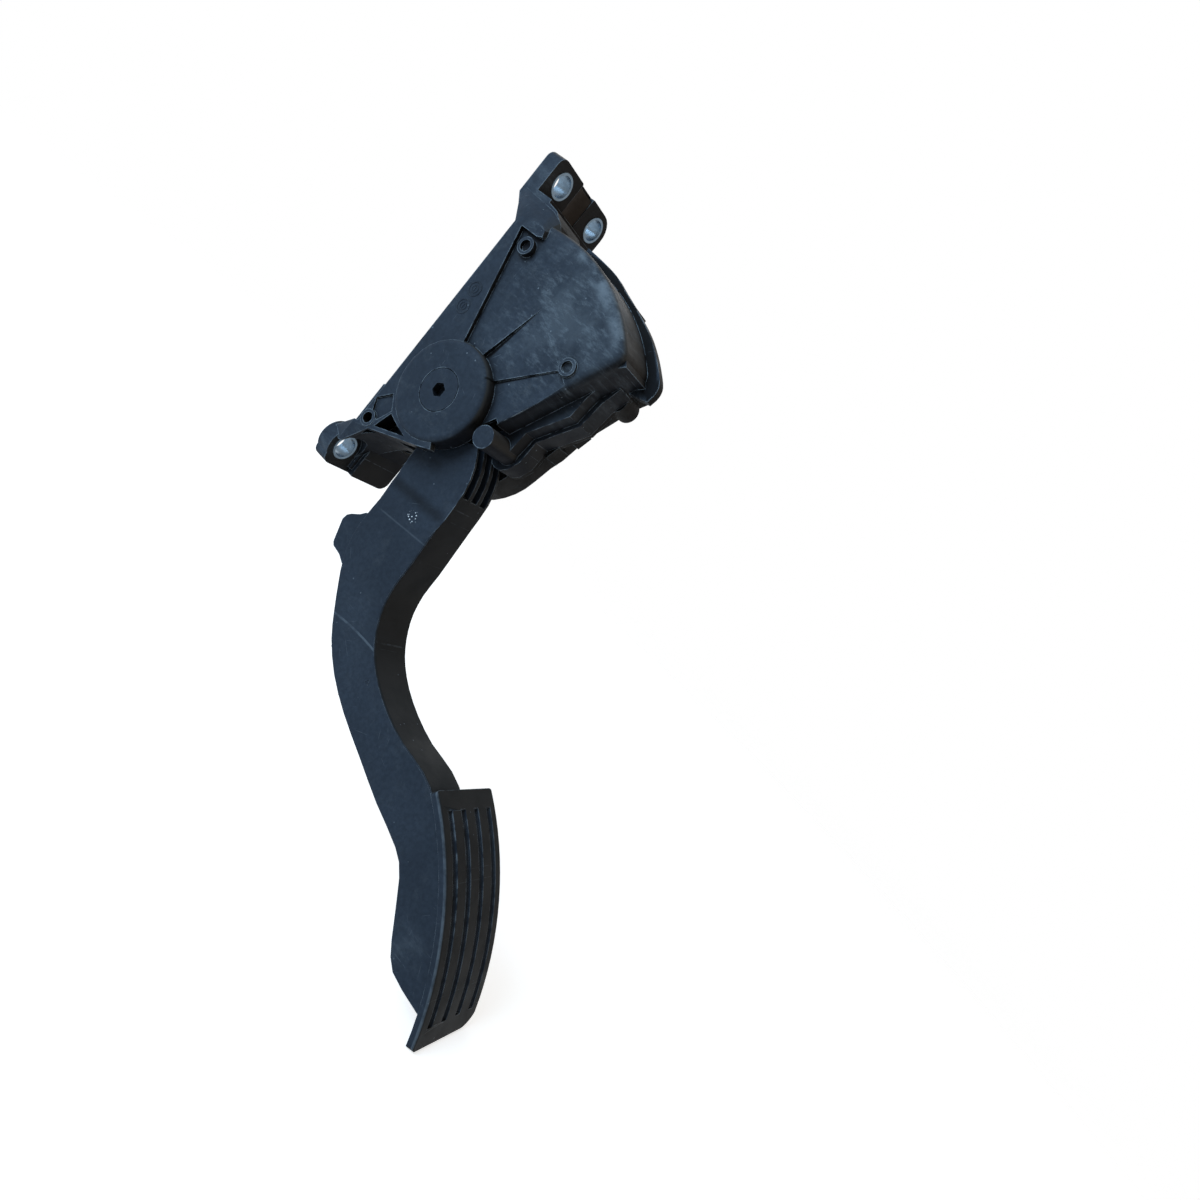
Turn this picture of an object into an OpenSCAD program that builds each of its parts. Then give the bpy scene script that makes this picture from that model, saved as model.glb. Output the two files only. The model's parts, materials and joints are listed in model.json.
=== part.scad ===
// Hanging accelerator pedal module: moulded housing, pedal arm with a grooved pad,
// return springs, friction shoe and a contactless sensor in the right-hand cover.
// X runs to the driver's right, Y forward to the bulkhead, Z up along the mounting face.
// The origin is the lower stud hole's centre on the mounting face.

/* [Mounting] */
// Height of the upper stud holes above the lower one
stud_rise = 138.6; // [136:0.2:142]
// Distance between the two upper stud holes
stud_gap = 31; // [29:0.5:34]
// How far the left upper hole lies to the right of the lower one
stud_offset = 4.4; // [3:0.2:6]
// Bore of the steel sleeves
sleeve_bore = 9.2; // [8.4:0.1:9.4]
// Wall of the steel sleeves
sleeve_wall = 1; // [0.8:0.1:1.2]
// How far a sleeve stands out of its lug
sleeve_stand = 0.3; // [0.1:0.1:0.6]
// Thickness of the mounting lugs
lug_thick = 7.3; // [6.5:0.1:8]
// Plastic round a sleeve
lug_margin = 2.8; // [2.4:0.1:3.2]
// Extra thickness of the lower lug's right-hand half
lug_step = 3.1; // [2:0.1:4]
// How far the lower flange reaches right of the lower hole
foot_reach = 32.4; // [30:0.2:33]

/* [Pivot] */
// How far the pivot lies behind the mounting face
pivot_back = 38.4; // [37.4:0.2:40]
// Height of the pivot above the lower hole
pivot_up = 46.4; // [45.4:0.2:48]
// Diameter of the pivot pin
pin_d = 8; // [7:0.2:9]
// Diameter of the pin's head
pin_head_d = 17.4; // [16:0.2:18]
// Thickness of the pin's head
pin_head_h = 2.6; // [2:0.1:3]
// Hexagon socket across its corners
pin_socket_d = 6.2; // [5:0.1:7]
// Wall of the bearing bushes
bush_wall = 2; // [1.5:0.1:2.5]
// Running gap between pin and bush, on the radius
bush_gap = 0.05; // [0.03:0.01:0.08]

/* [Housing] */
// Distance from the mounting face back to the housing's front wall
front_gap = 14.7; // [13.7:0.1:15.7]
// Wall of the housing
wall = 2.6; // [2.2:0.1:3]
// Outer radius of the fan above the pivot
fan_r = 76; // [75:0.5:77.5]
// Outer diameter of the round hub
hub_d = 42.8; // [41:0.2:44]
// How far the hub's face stands out to the left of the pedal arm
hub_stand = 9; // [8:0.1:10]
// Step from the hub's face down to the flat strip beside it
strip_step = 1; // [0.6:0.1:1.4]
// Step from the strip down to the fan's floor
fan_step = 2; // [1.4:0.1:2.6]
// Rounding of the fan's outer edge
fan_edge = 3.4; // [2:0.2:4]
// Width of the rim round the top of the fan
rim_width = 4; // [3.5:0.1:4.6]
// Thickness of that rim
rim_thick = 4; // [3:0.2:5]

/* [Arm] */
// Width of the pedal arm
arm_w = 20.5; // [19.5:0.1:21.5]
// Wall of the pedal arm
arm_wall = 2.6; // [2.2:0.1:3]
// Rounding of the arm's long edges
arm_edge = 1.2; // [0.8:0.1:2]
// Travel of the pedal in degrees
travel = 16; // [12:0.5:16]
// Slots in the back of the arm beside the hub
slot_count = 3; // [2:1:4]
// Thickness of the ribs between the slots
slot_rib = 2.2; // [1.8:0.1:2.6]
// Side clearance of the arm to the hub
arm_gap = 0.5; // [0.4:0.05:0.7]
// Side clearance of the arm to the cover's floor
cover_gap = 1; // [0.9:0.1:1.6]
// How far the arm's left face is sunk beside the hub
arm_sink = 1.2; // [0.6:0.1:1.4]

/* [Pad] */
// Width of the pad
pad_w = 39; // [36:0.5:42]
// Length of the pad along its curve
pad_len = 90.5; // [84:0.5:94]
// Radius of the pad's curve
pad_r = 125; // [115:1:140]
// Thickness of the pad
pad_t = 3.4; // [3:0.1:4]
// How far the pad stands out to the left of the arm
pad_lip = 0.8; // [0.4:0.1:1.5]
// Number of grooves in the pad
groove_count = 4; // [3:1:5]
// Width of a groove
groove_w = 3; // [2:0.1:3.6]
// Depth of a groove
groove_deep = 1.2; // [0.8:0.1:1.5]
// Distance from the pad's ends to the grooves
groove_end = 7.5; // [6:0.5:12]

/* [Springs] */
// Outer diameter of the outer return spring
spring_d = 16; // [15:0.2:16.6]
// Wire of the outer spring
wire_d = 1.6; // [1.4:0.1:2]
// Turns of the outer spring
coils = 6; // [5:1:7]
// Outer diameter of the inner return spring
inner_d = 11; // [10:0.2:11.4]
// Wire of the inner spring
inner_wire = 1.2; // [1:0.1:1.5]
// Turns of the inner spring
inner_coils = 8; // [6:1:9]
// How far the springs' axis lies inside the fan's outer radius
spring_inset = 24.4; // [24:0.2:25]
// Gap between the rim of a spring seat and the fan's inner wall
seat_gap = 0.7; // [0.5:0.1:1]
// Thickness of a spring seat's flange
seat_t = 2.4; // [2:0.1:2.8]

/* [Sensor] */
// Depth of the sensor cover
cover_depth = 16; // [15:0.5:18]
// Wall of the sensor cover
cover_wall = 2.2; // [1.8:0.1:2.6]
// Thickness of the sensor lid
lid_t = 1.6; // [1.4:0.1:2.4]
// Thickness of the circuit board
board_t = 1.6; // [1.2:0.1:2]
// Diameter of the magnet
magnet_d = 8; // [7:0.2:9]
// Thickness of the magnet
magnet_t = 2.5; // [2:0.1:3]
// Gap between the magnet and the sensor chips
air_gap = 0.8; // [0.6:0.1:1.2]
// Number of contacts in the connector
pin_count = 6; // [4:1:6]
// Pitch of the contacts
pin_pitch = 3.6; // [3.2:0.1:3.8]
// How far the connector's mouth stays below the fan's outer radius
mouth_drop = 1; // [0:0.2:2]

/* [Hidden] */
$fn = 64;

// Pivot in the side view, as distance forward and height
pivot = [-pivot_back, pivot_up];
hub_r = hub_d / 2;
// Hole in the hub and in the cover that a bush is pressed into
bush_hole_r = pin_d / 2 + bush_gap + bush_wall;
// Planes across the housing, from the hub's face at the left to the cover
arm_left = -4;
arm_right = arm_left + arm_w;
hub_face = arm_left - hub_stand;
strip_face = hub_face + strip_step;
fan_face = strip_face + fan_step;
cover_plane = arm_right + cover_gap;
ledge_face = fan_face + 10.6;
second_face = fan_face + 17.4;
// Clearances between pieces that only touch
touch = 0.02;
shoe_gap = 0.3;

// Points of the side view that are given from the pivot
function from_pivot(points) = [for (p = points) pivot + p];
function polar(r, a) = [r * cos(a), r * sin(a)];
function arc(centre, r, a0, a1, n) =
    [for (i = [0:n]) centre + polar(r, a0 + (a1 - a0) * i / n)];

function unit(v) = v / norm(v);
// Outward normal of an outline that runs clockwise, averaged at a corner
function corner_normal(p, i) = let (
    n = len(p),
    a = unit(p[i] - p[(i + n - 1) % n]),
    b = unit(p[(i + 1) % n] - p[i]),
    na = [-a[1], a[0]],
    nb = [-b[1], b[0]],
    m = na + nb) m / max(m * na, 0.6);
// An outline moved inwards by d
function inset(p, d) = [for (i = [0:len(p) - 1]) p[i] - corner_normal(p, i) * d];

// One point of a smooth curve through four neighbours
function smooth_point(a, b, c, d, t) = 0.5 * (2 * b + (c - a) * t
    + (2 * a - 5 * b + 4 * c - d) * t * t + (3 * b - a - 3 * c + d) * t * t * t);
// A smooth curve through all the points, in n steps between two of them
function smooth(p, n) = let (last = len(p) - 1) concat(
    [for (i = [0:last - 1], k = [0:n - 1]) smooth_point(
        p[max(i - 1, 0)], p[i], p[i + 1], p[min(i + 2, last)], k / n)],
    [p[last]]);

// A flat side-view shape carried across from x0 to x1
module across(x0, x1) {
    translate([x0, 0, 0])
        rotate([90, 0, 90])
            linear_extrude(height = x1 - x0)
                children();
}

// A round rod or hole along X at a point of the side view
module rod(p, r, x0, x1) {
    translate([x0, p[0], p[1]])
        rotate([0, 90, 0])
            cylinder(r = r, h = x1 - x0);
}

// A solid of revolution about an axis along X, profile as [radius, x]
module turned(p) {
    translate([0, p[0], p[1]])
        rotate([90, 0, 90])
            rotate_extrude()
                children();
}

// A closed solid through rings of equal length
module loft(rings) {
    n = len(rings[0]);
    m = len(rings);
    polyhedron(
        points = [for (r = rings, p = r) p],
        faces = concat(
            [[for (i = [n - 1:-1:0]) i]],
            [[for (i = [0:n - 1]) (m - 1) * n + i]],
            [for (k = [0:m - 2], i = [0:n - 1])
                [k * n + i, k * n + (i + 1) % n, (k + 1) * n + (i + 1) % n, (k + 1) * n + i]]));
}

// Mounting lugs

sleeve_r = sleeve_bore / 2 + sleeve_wall;
lug_r = sleeve_r + lug_margin;
left_hole = [stud_offset, stud_rise];
right_hole = [stud_offset + stud_gap, stud_rise];
lower_hole = [0, 0];
flange_left = stud_offset - lug_r - 1;
flange_right = right_hole[0] + lug_r + 0.2;
flange_low = stud_rise - lug_r - 2.4;
flange_high = stud_rise + lug_r - 0.3;
web_t = 4.6;

// A flat front-view shape carried back from the mounting face, from y0 to y1
module behind(y0, y1) {
    translate([0, -y0, 0])
        rotate([90, 0, 0])
            linear_extrude(height = y1 - y0)
                children();
}

// A rectangle in the front view with one corner radius each: low left, low right, high right, high left
module corner_plate(x0, z0, x1, z1, radii) {
    centres = [[x0 + radii[0], z0 + radii[0]], [x1 - radii[1], z0 + radii[1]],
        [x1 - radii[2], z1 - radii[2]], [x0 + radii[3], z1 - radii[3]]];
    polygon([for (k = [0:3], i = [0:6]) centres[k] + polar(radii[k], 180 + 90 * k + 15 * i)]);
}

module sleeve(hole) {
    color("lightsteelblue")
        translate([hole[0], 0, hole[1]])
            rotate([90, 0, 0])
                difference() {
                    cylinder(r = sleeve_r, h = lug_thick + sleeve_stand);
                    translate([0, 0, -1])
                        cylinder(r = sleeve_bore / 2, h = lug_thick + sleeve_stand + 2);
                }
}

module upper_left_sleeve() {
    sleeve(left_hole);
}

module upper_right_sleeve() {
    sleeve(right_hole);
}

module lower_sleeve() {
    sleeve(lower_hole);
}

module upper_flange() {
    behind(0, lug_thick)
        corner_plate(flange_left, flange_low, left_hole[0] + lug_r + 0.8, flange_high, [1, 1, 1, 4]);
    behind(0, lug_thick)
        corner_plate(right_hole[0] - lug_r - 3, flange_low, flange_right, flange_high, [1, 4, 8, 1]);
    behind(0, web_t)
        corner_plate(flange_left + 2, flange_low, flange_right - 2, flange_high, [1, 1, 4, 4]);
    // Upright rib in the recess between the lugs
    behind(0, lug_thick - 1.5)
        corner_plate(18, flange_low, 19.8, flange_high - 1.5, [0.5, 0.5, 0.5, 0.5]);
}

foot_low = -9.4;
foot_top = 7;
foot_left = 2 - lug_r;

module lower_flange() {
    behind(0, lug_thick) {
        translate(lower_hole)
            circle(r = lug_r);
        corner_plate(foot_left, foot_low, lug_r + 4, foot_top, [4, 0.5, 0.5, 5]);
    }
    behind(0, lug_thick + lug_step)
        corner_plate(lug_r + 1.4, foot_low, foot_reach, foot_top, [0.6, 4.4, 0.6, 0.6]);
    // Rounded rib between the sleeve's lug and the thicker foot
    translate([lug_r + 1.2, -lug_thick, foot_low + 2.4])
        cylinder(r = 1.5, h = foot_top - foot_low - 3);
}

// Side-view outlines of the housing

front_wall_y = -front_gap;
top_corner_z = pivot[1] + fan_r - 7;
base_corner_z = 13.4;
corner_r = 5.2;
corner_angle = 132;
corner_at = pivot + polar(fan_r - corner_r, corner_angle);
rear_low = pivot + [-28.9, 4.8];
to_corner = corner_at - rear_low;
// The straight rear edge runs up from its low end and meets the rounded corner
rear_angle = atan2(to_corner[1], to_corner[0]) + asin(corner_r / norm(to_corner));
rear_dir = polar(1, rear_angle);
rear_out = polar(1, rear_angle + 90);
rear_len = sqrt(to_corner * to_corner - corner_r * corner_r);
rear_high = rear_low + rear_dir * rear_len;

// Front part of the housing, beside and below the hub
front_block = [[front_wall_y, base_corner_z], [-21.8, 15.6], [-45.6, 24.4], rear_low - rear_out * 4,
    pivot + polar(30, 100), pivot + [7.4, fan_r - 3], [front_wall_y - 3, top_corner_z + 2.4],
    [front_wall_y, top_corner_z]];
// Filling between the round fan and the straight rear edge
rear_block = [pivot, rear_low - rear_out * (fan_edge + 0.6), rear_high - rear_out * (fan_edge + 0.6),
    corner_at, pivot + polar(fan_r - fan_edge - 1, 126), pivot + polar(40, 110)];

// Front strip that lies level beside the hub
strip_outline = [[front_wall_y, base_corner_z], [-21.8, 15.6], [-45.6, 24.4], [-52.5, 27.2], pivot,
    pivot + [6.2, 20.3], [front_wall_y - 3.3, top_corner_z + 2.2], [front_wall_y, top_corner_z]];

// Ledges that step out along the rear edge
ledge_outline = [[-60, 46], [-69.1, 44.3], [-72.3, 46.7], [-72.9, 56], [-83.4, 71.6],
    [-83.9, 81], [-85.6, 92], [-70, 92], [-55, 60]];
second_outline = [[-60, 39], [-66.5, 37.2], [-69.4, 37.6], [-72.4, 40.4], [-74.6, 45.6], [-74.6, 55.5],
    [-85.3, 71.4], [-86.2, 83], [-88.6, 92], [-70, 92], [-55, 60]];

inner_r = fan_r - wall;
// The fixed spring seat stands where its rim just clears the fan's inner wall
seat_r = spring_d / 2 + 0.2;
spring_rise = fan_r - spring_inset;
seat_back = sqrt(pow(inner_r, 2) - pow(spring_rise + seat_r + seat_gap, 2));
seat_y = pivot[0] - seat_back;
spring_up = pivot[1] + spring_rise;
// Where the inner rear wall stands at a distance forward
function rear_inner_z(y) = let (p = rear_low - rear_out * wall)
    p[1] + (y - p[0]) * rear_dir[1] / rear_dir[0];
chamber_low = 27.5;
chamber_front = front_wall_y - wall;
chamber_outline = concat(
    [[chamber_front, chamber_low], [-30, chamber_low - 2], [-52, 34],
        rear_low - rear_out * wall, [seat_y, rear_inner_z(seat_y)]],
    arc(pivot, inner_r, 180 - acos(seat_back / inner_r), 84, 12),
    [[-29.4, top_corner_z - 3.4], [-24, top_corner_z - 7.4], [chamber_front, top_corner_z - 11.4]]);

// Bosses whose holes show on the left face: place, outer radius, how far they stand
upper_boss = pivot + [11.4, fan_r - 13.2];
rear_boss = pivot + [-38.1, fan_r - 38];
lower_boss = [-18.3, 18.6];
boss_r = 3.6;
boss_hole_r = 2.3;
upper_boss_stand = 2.6;
rear_boss_stand = 1.2;
peg_at = pivot + [-29.6, -1.4];
peg_r = 4.6;

// Section through the fan's edge: distance outwards and across, rounded at the left face.
// Each part of the body runs past the cover's plane by its own amount and is trimmed there in one cut.
function edge_section(inner, outer, past) = concat(
    [[inner, cover_plane + past], [inner, fan_face]],
    arc([outer - fan_edge, fan_face + fan_edge], fan_edge, -90, 0, 6),
    [[outer, cover_plane + past]]);

// The fan with its rounded outer edge
module fan_body() {
    across(fan_face, cover_plane + 1)
        polygon(front_block);
    across(fan_face, cover_plane + 1.2)
        polygon(rear_block);
    translate([0, pivot[0], pivot[1]])
        rotate([90, 0, 90])
            rotate([0, 0, 78])
                rotate_extrude(angle = corner_angle - 78)
                    polygon(edge_section(20, fan_r, 1.4));
    turned(corner_at)
        polygon(edge_section(0, corner_r, 1.6));
    translate([0, rear_low[0], rear_low[1]])
        rotate([90, 0, 90])
            rotate([0, 0, rear_angle])
                rotate([90, 0, 90])
                    linear_extrude(height = rear_len)
                        polygon(edge_section(-fan_edge - 1, 0, 1.8));
}

// Sloped floors of the two rear fan sectors, lower next to the hub
module sector_cut(outline, middle, outer_r, drop) {
    tilt = atan(drop / (outer_r - hub_r));
    intersection() {
        across(fan_face - 3, fan_face + 6)
            polygon(from_pivot(outline));
        translate([0, pivot[0], pivot[1]])
            rotate([90, 0, 90])
                rotate([0, 0, middle])
                    translate([outer_r, 0, fan_face])
                        rotate([0, tilt, 0])
                            translate([-outer_r - 10, -60, -10])
                                cube([outer_r + 10, 120, 10]);
    }
}

sector_b = [[0, 0], [-3.2, 19.8], [-11.7, 48], [-36, 35.4], [-11.3, 14], [0, 0]];
sector_c = [[0, 0], [-11.3, 14], [-35.8, 35.6], [-42, 32], [-24, -3]];

module hub() {
    // Round wall with a rounded outer edge
    turned(pivot)
        difference() {
            polygon(concat([[0, hub_face]], arc([hub_r - 2.6, hub_face + 2.6], 2.6, -90, 0, 6),
                [[hub_r, arm_left - arm_gap], [0, arm_left - arm_gap]]));
            // Room inside the cup, round the bearing boss
            polygon([[pin_d / 2 + bush_wall + 5, hub_face + wall + 0.4],
                [hub_r - wall, hub_face + wall + 0.4],
                [hub_r - wall, arm_left], [pin_d / 2 + bush_wall + 5, arm_left]]);
        }
}

// Blocks that carry the two flanges on the housing's front wall
module upper_neck() {
    top = flange_low + 1.6;
    across(flange_left, 15)
        polygon([[0, top - 3.6], [0, top], [-14, top - 0.2], [-22, top - 1.6], [-27.4, top - 5],
            [-30.4, top - 11], [-26, 108], [front_wall_y, 106], [front_wall_y + 7.3, top - 12]]);
    // Slanting cheek from the lug's side down to the strip
    hull() {
        across(flange_left, flange_left + 0.2)
            polygon([[-1, top - 4], [-2, top - 1], [-21, top - 2.4], [-27, top - 4.4], [-30.6, top - 7.6],
                [-31, top - 12], [front_wall_y + 6, top - 11]]);
        across(strip_face, strip_face + 0.2)
            polygon([[front_wall_y, top_corner_z - 1], [front_wall_y, top_corner_z],
                [front_wall_y - 3, top_corner_z + 2.2], [-27, top_corner_z + 3.2],
                [-29.6, top_corner_z + 2.4], [-30.4, top_corner_z], [-28, top_corner_z - 1]]);
    }
    // Shelf that ties the right-hand lug to the neck
    translate([flange_left, -16, flange_low])
        cube([flange_right - flange_left - 3, 16, 2.4]);
}

module lower_neck() {
    across(foot_left, 15)
        polygon([[0, -2], [0, 3], [-2.3, 6.5], [-5.2, 8.4], [-9.8, 11.8], [-13, 13.4], [-13, 22],
            [-30, 24], [-30, 18.6], [-21.8, 15.6], [-17.4, 12.5], [-15.4, 10.4], [-10.6, 5.2],
            [-lug_thick, -2]]);
    hull() {
        across(foot_left, foot_left + 0.2)
            polygon([[-2.3, 6.3], [-9.8, 11.6], [-15.4, 10.6], [-10.6, 5.4], [-lug_thick, 0]]);
        across(strip_face, strip_face + 0.2)
            polygon([[-13, base_corner_z - 0.4], [-13, base_corner_z + 1], [-21.8, 16.6], [-21.8, 15.6]]);
    }
    // The neck goes on behind the foot to its right-hand end
    across(15 - 0.5, foot_reach - 1.2)
        polygon([[0, 2], [0, foot_top], [-5.2, 8.4], [-9.8, 11.8], [-12.4, 13.2], [-12.8, 11.6],
            [-lug_thick - lug_step, 5]]);
}

// Room for the arm where it leaves the housing: its front edge swings forward by the travel
exit_depth = 20;
exit_front = pivot[0] + exit_depth * sin(travel) + 2.6;
module arm_exit() {
    across(arm_left - arm_gap, cover_plane + 1)
        polygon([[exit_front, chamber_low + 6], [exit_front, 2], [-95, 2], [-95, 36.6],
            [-66, 36.6], [-60, 42]]);
}

// Outer line of the rim: angle about the pivot, and how much wider than rim_width it is there
rim_line = [[83.9, 1.3], [90.6, 0.1], [97.6, -0.5], [103.1, -1.5], [112.5, -1.5], [119.6, -0.6], [125.9, 0],
    [131.2, 0.5], [135.7, 0.8], [138.4, -0.8], [140.6, -4.1]];
rim_points = [for (p = rim_line) pivot + polar(fan_r + rim_width + p[1], p[0])];

module rim() {
    across(cover_plane - rim_thick, cover_plane + 2.4)
        polygon(concat(smooth(rim_points, 3),
            [pivot + [-45.6, 45.6]], [pivot + polar(fan_r - 6, 132)],
            [for (a = [120:-12:84]) pivot + polar(fan_r - 4, a)]));
}

module housing() {
    color([0.17, 0.2, 0.24])
        difference() {
            union() {
                difference() {
                    union() {
                        fan_body();
                        across(strip_face, fan_face + 1)
                            polygon(strip_outline);
                        across(strip_face + 0.6, cover_plane + 2)
                            polygon([[front_wall_y - 1, base_corner_z], [front_wall_y - 1, 33.4],
                                [front_wall_y, 33.4], [front_wall_y + 1.4, 32.6],
                                [front_wall_y + 1.4, base_corner_z]]);
                        across(ledge_face, second_face)
                            polygon(ledge_outline);
                        across(second_face, cover_plane + 2.2)
                            polygon(second_outline);
                        rim();
                    }
                    sector_cut(sector_b, 115, 49, 2);
                    sector_cut(sector_c, 150, 60, 3);
                    chamber();
                    arm_exit();
                    translate([cover_plane, -110, 0])
                        cube([5, 110, 140]);
                }
                hub();
                upper_flange();
                lower_flange();
                upper_neck();
                lower_neck();
                column(upper_boss, fan_face - upper_boss_stand);
                column(rear_boss, fan_face - rear_boss_stand);
                column(lower_boss, strip_face - 0.3);
                rod(peg_at, peg_r, strip_face, second_face);
                spring_land();
                buffer_land();
            }
            sleeve_holes();
            rod(pivot, pin_head_d / 2 + 0.3, hub_face - 1, hub_face + pin_head_h + 0.2);
            rod(pivot, bush_hole_r, hub_face, arm_left);
            for (p = [upper_boss, rear_boss, lower_boss])
                rod(p, boss_hole_r, strip_face - 4, cover_plane + 1);
            corner_pockets();
            neck_pockets();
            peg_core();
        }
}

module chamber() {
    across(fan_face + 4.4, cover_plane + 1)
        polygon(chamber_outline);
    rod(pivot, hub_r - wall, arm_left - arm_gap - 1, cover_plane + 1);
    across(ledge_face + wall, cover_plane + 1)
        polygon([[-66, 50.5], [-70, 51], [-70.4, 57], [-80.8, 72.6], [-81.3, 81], [-82.6, 89],
            [-80, 89], [-63, 54]]);
}

module column(p, x0) {
    rod(p, boss_r, x0, cover_plane - 0.1);
}

// Flat land in the rear corner that the fixed spring seat stands on
module spring_land() {
    across(fan_face + 4, cover_plane - 0.1)
        intersection() {
            polygon(chamber_land);
            circle_at(pivot, fan_r - 1);
        }
}

chamber_land = [[seat_y, spring_up - 18], [seat_y, spring_up + 14], [-95, spring_up + 14],
    [-95, spring_up + 2], [-88, spring_up - 4], [-84, spring_up - 12]];

module circle_at(p, r) {
    translate(p)
        circle(r = r);
}

// Boss inside the front wall that holds the rubber idle buffer
buffer_up = fan_r - 34;
buffer_r = 4.5;
buffer_stem_r = 2;
arm_middle = (arm_left + arm_right) / 2;
tail_front = pivot[0] + 5.4;
tail_rear = pivot[0] - 8.6;
buffer_land_y = tail_front + 6;

module buffer_land() {
    translate([arm_middle, chamber_front + 1, pivot[1] + buffer_up])
        rotate([90, 0, 0])
            difference() {
                cylinder(r = buffer_r + 1, h = chamber_front + 1 - buffer_land_y);
                translate([0, 0, 2])
                    cylinder(r = buffer_stem_r, h = 20);
            }
}

module sleeve_holes() {
    for (hole = [left_hole, right_hole, lower_hole])
        translate([hole[0], 1, hole[1]])
            rotate([90, 0, 0])
                cylinder(r = sleeve_r, h = lug_thick + lug_step + 4);
    // Spot face round the lower sleeve
    translate([0, -lug_thick, 0])
        rotate([90, 0, 0])
            cylinder(r = lug_r - 0.6, h = 6);
}

// Shallow recess and the deep triangular core by the lower boss
module corner_pockets() {
    difference() {
        across(strip_face - 1, strip_face + 1)
            polygon([[-15.2, 27], [-21.1, 32.8], [-25.8, 27.2], [-22.4, 20.4], [-18, 21.6]]);
        rod(lower_boss, boss_r, strip_face - 1, strip_face + 2);
    }
    across(strip_face - 1, strip_face + 8)
        polygon([[-26.4, 26.4], [-23.4, 18], [-38.6, 23.6], [-33, 24.6]]);
}

// Open cores in the front of the upper neck, between its ribs
module neck_pockets() {
    for (x = [flange_left + wall, 6])
        translate([x, -11, flange_low - 10])
            cube([6.6, 14, 8.4]);
}

module peg_core() {
    rod(peg_at, peg_r - 2, ledge_face, second_face + 1);
}

// Pedal arm

// Rear edge of the arm and the front edge opposite it, both from the pivot
arm_rear = [[-23.6, -6.4], [-28.8, -13.4], [-32.4, -23.1], [-33.7, -36.4], [-34.8, -48.4],
    [-35.7, -58.4], [-36.1, -68.4], [-38.1, -76.9], [-41.4, -83.4], [-45.8, -89.2],
    [-51.4, -94.2], [-59.8, -99.1], [-70.8, -103.2], [-83.6, -105.9], [-97.8, -106.6]];
arm_front = [[-1.2, -15], [-0.8, -25.4], [-1.4, -33.4], [-2.3, -41.4], [-3, -49.4],
    [-2.8, -57.4], [-4, -68.4], [-8, -77.9], [-13.2, -85.3], [-20.2, -94.1],
    [-28.3, -102.9], [-40.1, -111.3], [-55, -118], [-73.6, -123.9], [-91.6, -129.4]];
// Pad curve: centre, and the angles of its upper and lower end
pad_top_angle = 118.4;
pad_top = [-107.5, -106.2];
pad_centre = pad_top - polar(pad_r, pad_top_angle);
pad_sweep = pad_len / pad_r * 180 / PI;
function pad_under(a) = pad_centre + polar(pad_r - pad_t + 0.8, pad_top_angle + a);
// The side wall goes on below the pad
under_rear = [for (k = [0.06, 0.3, 0.56, 0.8, 0.87]) pad_under(pad_sweep * k)];
under_front = [[-109.3, -133.7], [-118.4, -139.6], [-131.8, -155.9], [-140, -162.6], [-152.6, -163.3]];
rail_steps = 2;
rail_rear = from_pivot(smooth(concat(arm_rear, under_rear), rail_steps));
rail_front = from_pivot(smooth(concat(arm_front, under_front), rail_steps));

// Section of the arm between two rail points, with rounded corners
function arm_section(a, b) = let (
    d = unit(b - a),
    l = norm(b - a),
    r = min(arm_edge, l / 3),
    flat = concat(
        arc([arm_left + r, r], r, 180, 270, 3),
        arc([arm_right - r, r], r, 270, 360, 3),
        arc([arm_right - r, l - r], r, 0, 90, 3),
        arc([arm_left + r, l - r], r, 90, 180, 3)))
    [for (q = flat) [q[0], a[0] + d[0] * q[1], a[1] + d[1] * q[1]]];

// Core between two stations that is open to the front
function core_outline(i0, i1, near) = concat(
    [for (i = [i0:i1]) rail_rear[i] + unit(rail_front[i] - rail_rear[i]) * near],
    [for (i = [i1:-1:i0]) rail_front[i] + unit(rail_front[i] - rail_rear[i]) * 2]);

// A thin plate across the core, from the wall side a at station i to side b at station i + step
module brace(i, a, b) {
    j = i + brace_step;
    t = 1.4;
    down = unit((rail_front[i] - rail_rear[i]) + (rail_front[j] - rail_rear[j]));
    high = min(norm(rail_front[i] - rail_rear[i]), norm(rail_front[j] - rail_rear[j])) - arm_wall - 2;
    p = rail_rear[i] + unit(rail_front[i] - rail_rear[i]) * (arm_wall - 0.9);
    q = rail_rear[j] + unit(rail_front[j] - rail_rear[j]) * (arm_wall - 0.9);
    run = norm(q - p);
    turn = atan2(q[1] - p[1], q[0] - p[0]);
    // X across, then along the arm and down into the core
    translate([a, p[0], p[1]])
        rotate([turn, 0, 0])
            rotate([0, 0, atan2(run, b - a)])
                translate([0, -t / 2, 0])
                    cube([norm([b - a, run]), t, high]);
}

brace_from = 16;
brace_step = 3;
brace_count = 6;

module arm_beam() {
    difference() {
        loft([for (i = [0:len(rail_rear) - 1]) arm_section(rail_rear[i], rail_front[i])]);
        across(arm_left + arm_wall, arm_right - arm_wall)
            polygon(core_outline(16, len(rail_rear) - 2, arm_wall));
        arm_slots();
        arm_face_sink();
    }
    for (k = [0:brace_count - 1]) {
        brace(brace_from + k * brace_step, arm_left + 1.2, arm_right - 1.2);
        brace(brace_from + k * brace_step, arm_right - 1.2, arm_left + 1.2);
    }
}

// The left face slopes in between these heights and stays sunk up to the hub
sink_low = pivot[1] - 44.4;
sink_high = pivot[1] - 36.9;
module arm_face_sink() {
    behind(-exit_front + 2, 84)
        polygon([[arm_left - 1, sink_low - 6], [arm_left, sink_low], [arm_left + arm_sink, sink_high],
            [arm_left + arm_sink, pivot[1]], [arm_left - 1, pivot[1]]]);
}

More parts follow.
